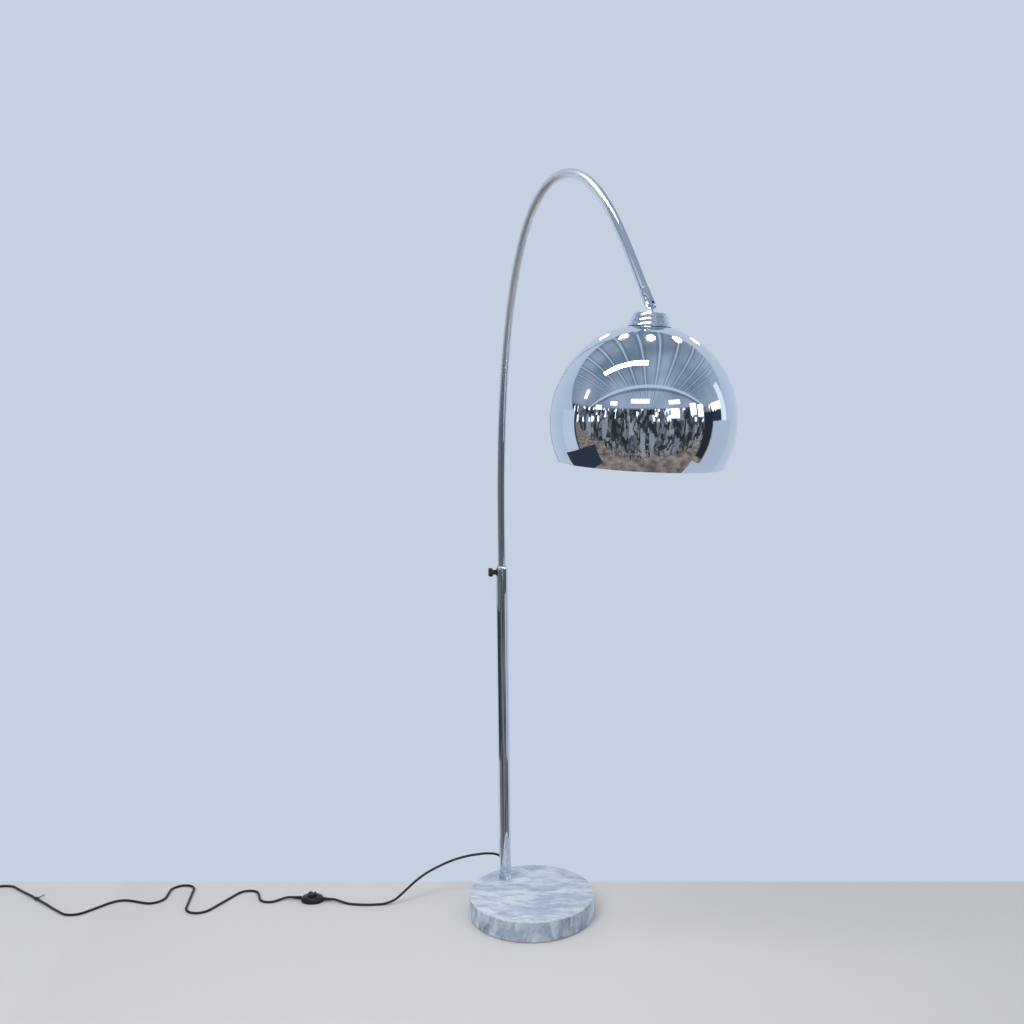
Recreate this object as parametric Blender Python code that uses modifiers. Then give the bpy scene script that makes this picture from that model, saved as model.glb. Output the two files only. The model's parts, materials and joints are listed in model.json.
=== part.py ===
"""Arc floor lamp: a marble foot, a telescopic pole, a bent arc tube and a tilting dome shade.

Units are metres, +Z is up. The origin is the centre of the base's underside, and +X points
from the pole towards the shade, so the pole, the arc and the shade all lie in the XZ plane.
"""
import math

import bmesh
import bpy
from mathutils import Matrix, Vector

# ------------------------------------------------------------------ driving dimensions
GAP = 0.0003                # left between two pieces that touch
SHARP = math.radians(35)    # edges sharper than this stay crisp under smooth shading

# Base: a round marble disc on a felt pad, with a bolt recess under the pole
BASE_RADIUS = 0.150
BASE_TOP = 0.054
FELT_RADIUS = 0.146
FELT_THICKNESS = 0.0017
EDGE_ROUND = 0.003
POLE_X = -0.100
BOLT_HOLE_RADIUS = 0.0055
RECESS_RADIUS = 0.026
RECESS_TOP = 0.018

# Lower pole
POLE_RADIUS = 0.014
POLE_WALL = 0.0012
POLE_TOP = 0.8275
COLLAR_RADIUS = 0.0168
COLLAR_HEIGHT = 0.020
CORD_EXIT_Z = 0.1065

# Clamp screw at the top of the pole
SCREW_Z = 0.8195
SCREW_TURN = math.radians(60)       # from -X towards -Y, seen from above
SCREW_RADIUS = 0.0028
BUSH_TOP = 0.8345

# Arc tube: straight up to ARC_START, then two curves that meet level at the crest
TUBE_RADIUS = 0.0095
TUBE_WALL = 0.0012
TUBE_BOTTOM = 0.505
ARC_START = 0.930
ARC_RISE = 0.436            # handle of the first curve, straight up
CREST = (0.109, 1.635)      # x and z of the highest point of the centre line
CREST_BACK = 0.139          # handles at the crest, towards the pole and towards the shade
CREST_FORWARD = 0.107
ARC_FALL = 0.121            # handle at the lower end
END_SLOPE = math.radians(30)        # the arc's end hangs this far from the vertical

# Head: its own frame has its origin on the tilt axis and +Z up along the shade's axis
HEAD_PIVOT = Vector((0.350, 0.0, 1.366))
SHADE_TILT = math.radians(4)
TUBE_END = 0.0101           # from the pivot back up the arc
SHADE_RADIUS = 0.180
SHADE_WALL = 0.0010
SHADE_CENTRE = -0.212
RIM_DROP = 0.0791           # the rim lies this far below the dome's centre
VENT_COUNT = 12
VENT_HALF = (0.0122, 0.0088)        # half length up the dome, half width
VENT_ANGLE = math.radians(32.2)     # from the shade's axis
CANOPY_TOP = -0.0120
CANOPY_WALL = 0.0012
# radius and height of each tier's top, then of its lower edge
CANOPY_TIERS = ((0.0305, -0.0120, 0.0347, -0.0198), (0.0339, -0.0202, 0.0385, -0.0280),
                (0.0377, -0.0284, 0.0425, -0.0363))
STEM_RADIUS = 0.0049

# Cord
CORD_RADIUS = 0.003
LEAD_RADIUS = 0.0028
CORD_HEADING = math.radians(47.9)   # the cord runs off along this line, measured from -X
COIL_CENTRE = (1.425, -0.093)
COIL_INNER = 0.0235
COIL_OUTER = 0.0365
COIL_BOTTOM = 0.0013
COIL_TOP = 0.0138
SWITCH_CENTRE = (0.5455, -0.0590)
SWITCH_YAW = math.radians(-6)       # of the switch against the cord's heading
RELIEF_LENGTH = 0.022
PORT_Z = 0.0070

# Colours: red, green, blue, metallic, roughness
FINISHES = {
    "chrome": (0.80, 0.82, 0.85, 1.0, 0.06),
    "marble": (0.86, 0.87, 0.90, 0.0, 0.22),
    "felt": (0.10, 0.10, 0.11, 0.0, 0.95),
    "steel": (0.62, 0.63, 0.65, 1.0, 0.35),
    "brass": (0.78, 0.62, 0.33, 1.0, 0.30),
    "black_plastic": (0.025, 0.026, 0.030, 0.0, 0.38),
    "white_plastic": (0.82, 0.82, 0.80, 0.0, 0.40),
    "cord_black": (0.035, 0.036, 0.040, 0.0, 0.50),
    "bulb_glass": (0.95, 0.94, 0.90, 0.0, 0.20),
}

# ------------------------------------------------------------------ scene set-up
for old in list(bpy.data.objects):
    bpy.data.objects.remove(old, do_unlink=True)
PARTS = bpy.data.collections.new("arc_floor_lamp")
CUTTERS = bpy.data.collections.new("cutters")
bpy.context.scene.collection.children.link(PARTS)
bpy.context.scene.collection.children.link(CUTTERS)


def make_material(name):
    red, green, blue, metallic, roughness = FINISHES[name]
    material = bpy.data.materials.new(name)
    material.use_nodes = True
    shader = material.node_tree.nodes["Principled BSDF"]
    shader.inputs["Base Color"].default_value = (red, green, blue, 1.0)
    shader.inputs["Metallic"].default_value = metallic
    shader.inputs["Roughness"].default_value = roughness
    material.diffuse_color = (red, green, blue, 1.0)
    return material


MATERIALS = {name: make_material(name) for name in FINISHES}


# ------------------------------------------------------------------ small builders
def link(obj, collection, parent=None, matrix=None):
    collection.objects.link(obj)
    obj.parent = parent
    if matrix is not None:
        obj.matrix_local = matrix
    return obj


def shade(mesh):
    mesh.shade_smooth()
    mesh.set_sharp_from_angle(angle=SHARP)


def evaluated_mesh(obj):
    """The object's mesh with its modifiers, or a curve's tube, as a plain welded mesh."""
    graph = bpy.context.evaluated_depsgraph_get()
    graph.update()
    mesh = bpy.data.meshes.new_from_object(obj.evaluated_get(graph))
    work = bmesh.new()
    work.from_mesh(mesh)
    bmesh.ops.remove_doubles(work, verts=work.verts, dist=0.00001)
    work.to_mesh(mesh)
    work.free()
    return mesh


def settle(obj):
    """Replace an object's data with its evaluated mesh, so that booleans can follow."""
    mesh = evaluated_mesh(obj)
    mesh.name = obj.name
    mesh.materials.clear()
    for slot in obj.material_slots:
        mesh.materials.append(slot.material)
    shade(mesh)
    if obj.type == "MESH":
        obj.modifiers.clear()
        obj.data = mesh
        return obj
    name, parent, matrix = obj.name, obj.parent, obj.matrix_local.copy()
    collection = obj.users_collection[0]
    bpy.data.objects.remove(obj, do_unlink=True)
    return link(bpy.data.objects.new(name, mesh), collection, parent, matrix)


def new_mesh_object(name, mesh, finish, parent, matrix):
    obj = bpy.data.objects.new(name, mesh)
    mesh.materials.append(MATERIALS[finish])
    return link(obj, PARTS, parent, matrix)


def turned(name, profile, finish, steps, parent=None, matrix=None, ring=False, wall=0.0):
    """A body of revolution about its own Z. The profile is (radius, z), down its outer side.

    ring closes the profile on itself, and wall makes a shell of an open profile.
    """
    mesh = bpy.data.meshes.new(name)
    count = len(profile)
    edges = [(i, i + 1) for i in range(count - 1)]
    if ring:
        edges.append((count - 1, 0))
    mesh.from_pydata([(radius, 0.0, z) for radius, z in profile], edges, [])
    obj = new_mesh_object(name, mesh, finish, parent, matrix)
    screw = obj.modifiers.new("turn", "SCREW")
    screw.steps = steps
    screw.render_steps = steps
    screw.use_merge_vertices = True
    screw.merge_threshold = 0.00001
    if wall:
        shell = obj.modifiers.new("wall", "SOLIDIFY")
        shell.thickness = wall
        shell.offset = -1.0
        shell.use_even_offset = True
    return settle(obj)


def cylinder(name, radius, start, end, finish, steps=20, parent=None, cutter=False):
    """A plain round bar between two points; a cutter goes in the cutters' collection."""
    start, end = Vector(start), Vector(end)
    mesh = bpy.data.meshes.new(name)
    work = bmesh.new()
    length = (end - start).length
    bmesh.ops.create_cone(work, cap_ends=True, segments=steps, radius1=radius,
                          radius2=radius, depth=length)
    work.to_mesh(mesh)
    work.free()
    turn = (end - start).to_track_quat("Z", "Y").to_matrix().to_4x4()
    matrix = Matrix.Translation((start + end) / 2) @ turn
    return place(name, mesh, finish, parent, matrix, cutter)


def block(name, size, centre, finish, parent=None, cutter=False, bevel=0.0, matrix=None):
    """A box of the given size about centre, with its edges rounded by bevel."""
    mesh = bpy.data.meshes.new(name)
    work = bmesh.new()
    bmesh.ops.create_cube(work, size=1.0)
    bmesh.ops.scale(work, vec=size, verts=work.verts)
    if bevel:
        bmesh.ops.bevel(work, geom=work.edges[:], offset=bevel, segments=2, profile=0.5,
                        affect="EDGES")
    bmesh.ops.translate(work, vec=centre, verts=work.verts)
    work.to_mesh(mesh)
    work.free()
    return place(name, mesh, finish, parent, matrix or Matrix(), cutter)


def hex_prism(name, across_flats, start, end, finish, parent=None):
    return cylinder(name, across_flats / math.sqrt(3), start, end, finish, 6, parent)


def place(name, mesh, finish, parent, matrix, cutter):
    shade(mesh)
    if not cutter:
        return new_mesh_object(name, mesh, finish, parent, matrix)
    obj = link(bpy.data.objects.new(name, mesh), CUTTERS, parent, matrix)
    obj.hide_render = True
    obj.display_type = "WIRE"
    return obj


def combine(obj, other, operation="DIFFERENCE"):
    """Cut obj by other, or join other to it; other is left among the cutters."""
    if other.name in PARTS.objects:
        PARTS.objects.unlink(other)
        CUTTERS.objects.link(other)
        other.hide_render = True
        other.display_type = "WIRE"
    modifier = obj.modifiers.new(operation.lower(), "BOOLEAN")
    modifier.operation = operation
    modifier.solver = "EXACT"
    modifier.object = other
    return obj


def tube(name, points, radius, finish, parent=None, resolution=2, wall=0.0):
    """A round tube along points; wall leaves its bore open."""
    curve = bpy.data.curves.new(name, "CURVE")
    curve.dimensions = "3D"
    curve.bevel_depth = radius
    curve.bevel_resolution = resolution
    curve.use_fill_caps = not wall
    spline = curve.splines.new("POLY")
    spline.points.add(len(points) - 1)
    for target, point in zip(spline.points, points):
        target.co = (*point, 1.0)
    curve.materials.append(MATERIALS[finish])
    obj = settle(link(bpy.data.objects.new(name, curve), PARTS, parent))
    if wall:
        shell = obj.modifiers.new("wall", "SOLIDIFY")
        shell.thickness = wall
        shell.offset = -1.0
        shell.use_even_offset = True
        obj = settle(obj)
    return obj


def axis_empty(name, location, rotation=(0.0, 0.0, 0.0), parent=None):
    empty = bpy.data.objects.new(name, None)
    empty.empty_display_size = 0.02
    link(empty, PARTS, parent)
    empty.location = location
    empty.rotation_euler = rotation
    bpy.context.view_layer.update()
    return empty


def arc_points(centre, radius, first, last, count):
    """Points (r, z) on a circle of a profile, with angles in degrees from +r towards +z."""
    angles = [math.radians(first + (last - first) * i / (count - 1)) for i in range(count)]
    return [(centre[0] + radius * math.cos(a), centre[1] + radius * math.sin(a))
            for a in angles]


def bezier(p0, p1, p2, p3, count):
    """count points on a cubic curve, both ends included."""
    points = []
    for i in range(count):
        t = i / (count - 1)
        s = 1.0 - t
        points.append(p0 * s ** 3 + p1 * (3 * s * s * t) + p2 * (3 * s * t * t) + p3 * t ** 3)
    return points


def smooth_path(route, spacing):
    """Evenly spaced points on a centripetal Catmull-Rom curve through the route's points."""
    knots = [Vector(point) for point in route]
    knots = [knots[0] * 2 - knots[1]] + knots + [knots[-1] * 2 - knots[-2]]
    fine = []
    for before, start, end, after in zip(knots, knots[1:], knots[2:], knots[3:]):
        a = math.sqrt((start - before).length)
        b = math.sqrt((end - start).length)
        c = math.sqrt((after - end).length)
        leaving = ((start - before) / a - (end - before) / (a + b) + (end - start) / b) * b
        arriving = ((end - start) / b - (after - start) / (b + c) + (after - end) / c) * b
        fine += bezier(start, start + leaving / 3, end - arriving / 3, end, 17)[:-1]
    fine.append(knots[-2])
    return respace(fine, spacing)


def respace(points, spacing):
    """The same line with evenly spaced points, both ends kept."""
    lengths = [0.0]
    for a, b in zip(points, points[1:]):
        lengths.append(lengths[-1] + (b - a).length)
    count = max(2, round(lengths[-1] / spacing) + 1)
    even, k = [], 0
    for i in range(count):
        target = lengths[-1] * i / (count - 1)
        while k < len(points) - 2 and lengths[k + 1] < target:
            k += 1
        share = (target - lengths[k]) / (lengths[k + 1] - lengths[k])
        even.append(points[k].lerp(points[k + 1], min(1.0, share)))
    return even


# ------------------------------------------------------------------ shared lines and frames
def arc_line(count_first=19, count_second=20):
    """Centre line of the arc tube, from the start of its first curve to its lower end."""
    crest = Vector((CREST[0], 0.0, CREST[1]))
    start = Vector((POLE_X, 0.0, ARC_START))
    rise = start + Vector((0.0, 0.0, ARC_RISE))
    end = HEAD_PIVOT + UP_THE_ARC * TUBE_END
    first = bezier(start, rise, crest - Vector((CREST_BACK, 0, 0)), crest, count_first)
    second = bezier(crest, crest + Vector((CREST_FORWARD, 0, 0)), end + UP_THE_ARC * ARC_FALL,
                    end, count_second)
    return first + second[1:]


UP_THE_ARC = Vector((-math.sin(END_SLOPE), 0.0, math.cos(END_SLOPE)))
ARC_END_FRAME = Matrix.Translation(HEAD_PIVOT) @ Matrix.Rotation(-END_SLOPE, 4, "Y")
POLE_AXIS = Vector((POLE_X, 0.0, 0.0))
SCREW_OUT = Vector((-math.cos(SCREW_TURN), -math.sin(SCREW_TURN), 0.0))

ARC_AXIS = axis_empty("arc_swivel_axis", (POLE_X, 0.0, SCREW_Z))
HEAD = axis_empty("shade_tilt_axis", HEAD_PIVOT, (0.0, SHADE_TILT, 0.0))
BULB_SEAT = -0.0772
BULB = axis_empty("bulb_axis", (0.0, 0.0, BULB_SEAT), parent=HEAD)


def at(x, y, z):
    return Matrix.Translation((x, y, z))


def along(origin, direction):
    """A frame at origin whose Z runs along direction."""
    turn = Vector(direction).to_track_quat("Z", "Y").to_matrix().to_4x4()
    return Matrix.Translation(origin) @ turn


def keep_place(obj, parent):
    """Parent obj without moving it."""
    obj.parent = parent
    obj.matrix_parent_inverse = parent.matrix_world.inverted()
    return obj


# ------------------------------------------------------------------ base
def make_base():
    turned("base_felt", [(0, FELT_THICKNESS), (FELT_RADIUS, FELT_THICKNESS), (FELT_RADIUS, 0),
                         (0, 0)], "felt", 64)
    bottom = FELT_THICKNESS + GAP
    chamfer = EDGE_ROUND / 2
    shoulder = arc_points((BASE_RADIUS - EDGE_ROUND, BASE_TOP - EDGE_ROUND), EDGE_ROUND, 90, 0, 4)
    marble = turned("marble_base", [(0, BASE_TOP), *shoulder, (BASE_RADIUS, bottom + chamfer),
                                    (BASE_RADIUS - chamfer, bottom), (0, bottom)], "marble", 64)
    hole_top = BASE_TOP + 0.01
    combine(marble, cylinder("bolt_hole", BOLT_HOLE_RADIUS, (POLE_X, 0, -0.01),
                             (POLE_X, 0, hole_top), "steel", 20, cutter=True))
    combine(marble, cylinder("bolt_recess", RECESS_RADIUS, (POLE_X, 0, -0.01),
                             (POLE_X, 0, RECESS_TOP), "steel", 32, cutter=True))
    settle(marble)

    washer_top = RECESS_TOP - GAP
    washer_bottom = washer_top - 0.0025
    turned("base_washer", [(0.0053, washer_top), (0.022, washer_top), (0.022, washer_bottom),
                           (0.0053, washer_bottom)], "steel", 32, matrix=at(POLE_X, 0, 0),
           ring=True)
    head_top = washer_bottom - GAP
    head = hex_prism("base_bolt", 0.016, (POLE_X, 0, head_top - 0.0064), (POLE_X, 0, head_top),
                     "steel")
    shank = cylinder("bolt_shank", 0.0048, (POLE_X, 0, head_top - 0.003), (POLE_X, 0, 0.080),
                     "steel", 16, cutter=True)
    settle(combine(head, shank, "UNION"))


# ------------------------------------------------------------------ lower pole
def make_pole():
    foot = BASE_TOP + GAP
    pole = turned("lower_pole", [(POLE_RADIUS - POLE_WALL, POLE_TOP), (POLE_RADIUS, POLE_TOP),
                                 (POLE_RADIUS, foot), (POLE_RADIUS - POLE_WALL, foot)],
                  "chrome", 32, matrix=at(POLE_X, 0, 0), ring=True)
    combine(pole, cylinder("cord_hole", 0.0048, (POLE_X - 0.02, 0, CORD_EXIT_Z),
                           (POLE_X, 0, CORD_EXIT_Z), "steel", 16, cutter=True))
    level = POLE_AXIS + Vector((0, 0, SCREW_Z))
    combine(pole, cylinder("screw_hole", SCREW_RADIUS + 0.0005, level,
                           level + SCREW_OUT * 0.02, "steel", 16, cutter=True))
    settle(pole)

    plug_radius = POLE_RADIUS - POLE_WALL - GAP
    turned("foot_plug", [(0.0051, foot + 0.030), (plug_radius, foot + 0.030),
                         (plug_radius, foot), (0.0051, foot)], "steel", 24,
           matrix=at(POLE_X, 0, 0), ring=True)
    inner = POLE_RADIUS + GAP
    turned("foot_collar", [(inner, foot + COLLAR_HEIGHT), (inner + 0.0005, foot + COLLAR_HEIGHT),
                           (inner + 0.0012, foot + 0.010), (COLLAR_RADIUS, foot + 0.0016),
                           (COLLAR_RADIUS, foot), (inner, foot)], "chrome", 32,
           matrix=at(POLE_X, 0, 0), ring=True)

    bore = TUBE_RADIUS + GAP
    seat = POLE_TOP + GAP
    bush = turned("pole_top_bush", [(bore, BUSH_TOP), (0.0112, BUSH_TOP),
                                    (0.0132, seat + 0.0044), (POLE_RADIUS, seat + 0.0012),
                                    (POLE_RADIUS, seat),
                                    (plug_radius, seat), (plug_radius, POLE_TOP - 0.030),
                                    (bore, POLE_TOP - 0.030)],
                  "chrome", 32, matrix=at(POLE_X, 0, 0), ring=True)
    combine(bush, cylinder("pad_hole", 0.0028, level, level + SCREW_OUT * 0.02, "steel", 16,
                           cutter=True))
    settle(bush)


def make_clamp():
    level = POLE_AXIS + Vector((0, 0, SCREW_Z))

    def out(distance):
        return level + SCREW_OUT * distance

    nut = hex_prism("clamp_nut", 0.0105, out(0.0120), out(0.0186), "black_plastic")
    combine(nut, cylinder("nut_seat", POLE_RADIUS + GAP, level - Vector((0, 0, 0.02)),
                          level + Vector((0, 0, 0.02)), "steel", 32, cutter=True))
    combine(nut, cylinder("nut_bore", SCREW_RADIUS + GAP, level, out(0.03), "steel", 16,
                          cutter=True))
    settle(nut)

    screw = axis_empty("clamp_screw_axis", out(0.0128))
    tip = TUBE_RADIUS + GAP
    keep_place(cylinder("clamp_pad", 0.0025, out(tip), out(0.0127), "brass", 16), screw)
    keep_place(cylinder("thumb_screw_shank", SCREW_RADIUS - GAP, out(0.0130), out(0.0238),
                        "steel", 14), screw)
    bore = SCREW_RADIUS + GAP
    knob = turned("thumb_screw_knob", [(0, -0.0050), (bore, -0.0050), (bore, 0.0002),
                                       (0.0055, 0.0002), (0.0057, -0.0016), (0.0096, -0.0026),
                                       (0.0106, -0.0040), (0.0106, -0.0104), (0.0094, -0.0118),
                                       (0, -0.0124)],
                  "black_plastic", 24, matrix=along(out(0.0192), -SCREW_OUT))
    keep_place(knob, screw)


# ------------------------------------------------------------------ arc
def make_arc():
    bush_bottom = TUBE_BOTTOM + 0.002
    outer = POLE_RADIUS - POLE_WALL - GAP
    guide = turned("tube_guide_bush", [(TUBE_RADIUS + GAP, bush_bottom + 0.030),
                                       (outer - 0.0006, bush_bottom + 0.030),
                                       (outer, bush_bottom + 0.0290), (outer, bush_bottom + 0.001),
                                       (outer - 0.0006, bush_bottom),
                                       (TUBE_RADIUS + GAP, bush_bottom)],
                   "black_plastic", 24, matrix=at(POLE_X, 0, 0), ring=True)
    keep_place(guide, ARC_AXIS)

    straight = [Vector((POLE_X, 0, TUBE_BOTTOM)), Vector((POLE_X, 0, 0.72))]
    arc = tube("arc_tube", straight + arc_line(), TUBE_RADIUS, "chrome", resolution=6,
               wall=TUBE_WALL)
    keep_place(arc, ARC_AXIS)

    inner = TUBE_RADIUS + GAP
    sleeve = turned("tube_end_sleeve", [(inner, 0.036), (inner + 0.0004, 0.036),
                                        (inner + 0.0007, 0.0355), (inner + 0.0007, TUBE_END),
                                        (inner, TUBE_END)], "chrome", 24, matrix=ARC_END_FRAME, ring=True)
    keep_place(sleeve, ARC_AXIS)

    leads = respace(arc_line(), 0.045)[:-1]
    keep_place(tube("lead_arc", [Vector((POLE_X, 0, 0.60)), Vector((POLE_X, 0, 0.76)), *leads],
                    LEAD_RADIUS, "cord_black", resolution=1), ARC_AXIS)


def make_knuckle():
    spigot = TUBE_RADIUS - TUBE_WALL - GAP
    seat = TUBE_END - GAP
    ear = 0.0090
    dome = [(ear * math.cos(math.radians(a)), -0.0072 * math.sin(math.radians(a)))
            for a in (0, 20, 40, 60, 75, 90)]
    fork = turned("knuckle_fork", [(0, 0.030), (spigot - 0.0008, 0.030), (spigot, 0.0292),
                                   (spigot, seat), (0.0102, seat), (0.0102, 0.0078),
                                   (ear, 0.0070), *dome], "chrome", 24, matrix=ARC_END_FRAME)

    def cut(name, size, centre):
        combine(fork, block(name, size, centre, "steel", cutter=True, matrix=ARC_END_FRAME))

    slot_top = 0.0070
    cut("fork_slot", (0.030, 0.0066, 0.020), (0, 0, slot_top - 0.010))
    for side in (-1, 1):
        cut(f"fork_flat_{side}", (0.030, 0.004, 0.0138), (0, side * 0.0102, slot_top - 0.0069))
    combine(fork, cylinder("fork_bore", 0.0031, HEAD_PIVOT, HEAD_PIVOT + UP_THE_ARC * 0.04,
                           "steel", 16, cutter=True))
    side = Vector((0, 0.02, 0))
    combine(fork, cylinder("fork_pin_hole", 0.0022, HEAD_PIVOT - side, HEAD_PIVOT + side,
                           "steel", 16, cutter=True))
    keep_place(settle(fork), ARC_AXIS)

    def across(distance):
        return HEAD_PIVOT + Vector((0, distance, 0))

    pin = turned("knuckle_screw", [(0, 0.0012), (0.0022, 0.0012), (0.0034, 0.0004),
                                   (0.0034, -0.0006), (0.0019, -0.0006), (0.0019, -0.0200),
                                   (0, -0.0200)], "chrome", 20,
                 matrix=along(across(-0.0091), (0, -1, 0)))
    keep_place(pin, ARC_AXIS)
    nut = hex_prism("knuckle_nut", 0.0066, across(0.0085), across(0.0106), "chrome")
    combine(nut, cylinder("knuckle_nut_bore", 0.0022, across(0.0), across(0.02), "steel", 16,
                          cutter=True))
    keep_place(settle(nut), ARC_AXIS)


# ------------------------------------------------------------------ head
def make_stem():
    """The knuckle's tongue, its collar and the threaded tube that carries the head."""
    tongue = cylinder("knuckle_stem", 0.0065, (0, -0.003, 0), (0, 0.003, 0), "chrome", 28, HEAD)
    web = block("stem_web", (0.0096, 0.006, 0.0100), (0, 0, -0.0050), "steel", HEAD, cutter=True)
    combine(tongue, web, "UNION")
    collar_top = CANOPY_TOP + GAP + 0.0023
    collar_seat = CANOPY_TOP + GAP
    thread_end = -0.0520
    stem = turned("stem_thread", [(0, collar_top), (0.0058, collar_top), (0.0065, collar_top - 0.0007),
                                  (0.0065, collar_seat), (STEM_RADIUS, collar_seat),
                                  (STEM_RADIUS, thread_end), (0, thread_end)],
                  "chrome", 24, HEAD)
    combine(tongue, stem, "UNION")
    combine(tongue, cylinder("stem_bore", LEAD_RADIUS + GAP, (0, 0, -0.0125), (0, 0, -0.06),
                             "steel", 12, HEAD, cutter=True))
    combine(tongue, cylinder("stem_pin_hole", 0.0022, (0, -0.01, 0), (0, 0.01, 0), "steel", 16,
                             HEAD, cutter=True))
    settle(tongue)


def make_canopy():
    """Three tiers, each a short cone that widens downwards."""
    bore = STEM_RADIUS + GAP
    edge = 0.0008
    outer = [(bore, CANOPY_TOP)]
    inner = [(bore, CANOPY_TOP - CANOPY_WALL)]
    for upper_radius, upper, lower_radius, lower in CANOPY_TIERS:
        outer += [(upper_radius - edge, upper), (upper_radius, upper - edge), (lower_radius, lower)]
        inner += [(upper_radius - CANOPY_WALL, upper - CANOPY_WALL),
                  (lower_radius - CANOPY_WALL, lower - CANOPY_WALL)]
    inner[-1] = (inner[-1][0], outer[-1][1])
    turned("canopy", outer + inner[::-1], "chrome", 32, HEAD, ring=True)


def make_shade():
    first = math.asin((STEM_RADIUS + GAP) / SHADE_RADIUS)
    last = math.pi / 2 + math.asin(RIM_DROP / SHADE_RADIUS)
    rings = 15
    profile = []
    for i in range(rings):
        angle = first + (last - first) * i / (rings - 1)
        profile.append((SHADE_RADIUS * math.sin(angle), SHADE_CENTRE + SHADE_RADIUS * math.cos(angle)))
    dome = turned("shade_shell", profile, "chrome", 48, HEAD, wall=SHADE_WALL)
    tilt = Matrix.Rotation(VENT_ANGLE, 4, "Y") @ Matrix.Translation((0, 0, SHADE_RADIUS))
    for k in range(VENT_COUNT):
        turn = Matrix.Rotation(2 * math.pi * (k + 0.5) / VENT_COUNT, 4, "Z")
        slot = bar_mesh(1.0, 0.05)
        slot.transform(Matrix.Diagonal((*VENT_HALF, 1.0, 1.0)) @ Matrix.Rotation(0.06, 4, "Z"))
        matrix = Matrix.Translation((0, 0, SHADE_CENTRE)) @ turn @ tilt
        combine(dome, place(f"vent_{k + 1}", slot, "steel", HEAD, matrix, True))
    settle(dome)

    bore = STEM_RADIUS + GAP
    washer_top = SHADE_CENTRE + SHADE_RADIUS - SHADE_WALL - 0.0010
    washer_bottom = washer_top - 0.0015
    turned("shade_washer", [(bore, washer_top), (0.0130, washer_top), (0.0130, washer_bottom),
                            (bore, washer_bottom)], "steel", 24, HEAD, ring=True)
    nut_top = washer_bottom - GAP
    nut = hex_prism("shade_lock_nut", 0.014, (0, 0, nut_top), (0, 0, nut_top - 0.0035), "steel",
                    HEAD)
    combine(nut, cylinder("lock_nut_bore", bore, (0, 0, nut_top + 0.01), (0, 0, nut_top - 0.01),
                          "steel", 20, HEAD, cutter=True))
    settle(nut)
    return nut_top - 0.0035


def make_lamp_holder(top):
    bore = STEM_RADIUS + GAP
    cap_top = top - GAP
    joint = cap_top - 0.018
    turned("holder_cap", [(bore, cap_top), (0.0125, cap_top), (0.0150, cap_top - 0.002),
                          (0.0195, cap_top - 0.012), (0.0198, joint), (0.0180, joint),
                          (0.0176, cap_top - 0.012), (0.0130, cap_top - 0.004),
                          (bore, cap_top - 0.004)], "white_plastic", 28, HEAD, ring=True)
    body_top = joint - GAP
    body_bottom = body_top - 0.040
    turned("holder_body", [(0.0172, body_top), (0.0198, body_top), (0.0198, body_bottom + 0.002),
                           (0.0186, body_bottom), (0.0160, body_bottom), (0.0160, body_bottom + 0.003),
                           (0.0172, body_bottom + 0.003)], "white_plastic", 28, HEAD, ring=True)
    plate_top = body_top - 0.001
    turned("holder_insulator", [(0, plate_top), (0.0169, plate_top), (0.0169, plate_top - 0.004),
                                (0, plate_top - 0.004)], "white_plastic", 24, HEAD)
    shell_top = plate_top - 0.004 - GAP
    turned("holder_screw_shell", [(0.0139, shell_top), (0.0145, shell_top),
                                  (0.0145, body_bottom + 0.004), (0.0139, body_bottom + 0.004)],
           "brass", 24, HEAD, ring=True)
    turned("holder_contact", [(0, shell_top), (0.0060, shell_top), (0.0060, shell_top - 0.0008),
                              (0.0030, shell_top - 0.0024), (0, shell_top - 0.0024)], "brass", 16,
           HEAD)
    cylinder("lead_head", LEAD_RADIUS, (0, 0, -0.0130), (0, 0, plate_top + GAP), "cord_black", 12,
             HEAD)
    return shell_top - 0.0024


def make_bulb(contact):
    """A screw-cap bulb. Its own frame has Z up along the shade's axis, at the cap's tip."""
    def down(distance):
        return contact - GAP - distance - BULB_SEAT

    turned("bulb_tip", [(0, down(0)), (0.0036, down(0.0004)), (0.0044, down(0.0022)),
                        (0, down(0.0022))], "steel", 16, BULB)
    turned("bulb_cap", [(0.0050, down(0.0025)), (0.0070, down(0.0027)), (0.0130, down(0.0060)),
                        (0.0133, down(0.0250))], "steel", 24, BULB, wall=0.0006)
    neck = 0.0253
    outline = [(0.0128, down(neck)), (0.0138, down(neck + 0.008)), (0.0185, down(neck + 0.024)),
               (0.0255, down(neck + 0.038))]
    outline += arc_points((0, down(neck + 0.053)), 0.030, 14, -90, 8)
    turned("bulb_glass", outline, "bulb_glass", 24, BULB, wall=0.0010)


# ------------------------------------------------------------------ cord, switch and plug
HEADING = Vector((-math.cos(CORD_HEADING), -math.sin(CORD_HEADING), 0.0))
SIDEWAYS = Vector((math.sin(CORD_HEADING), -math.cos(CORD_HEADING), 0.0))


def floor_point(forward, out, z=CORD_RADIUS):
    """A point of the cord's route: forward along its heading, out at right angles to it."""
    return HEADING * forward + SIDEWAYS * out + Vector((0, 0, z))


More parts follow.
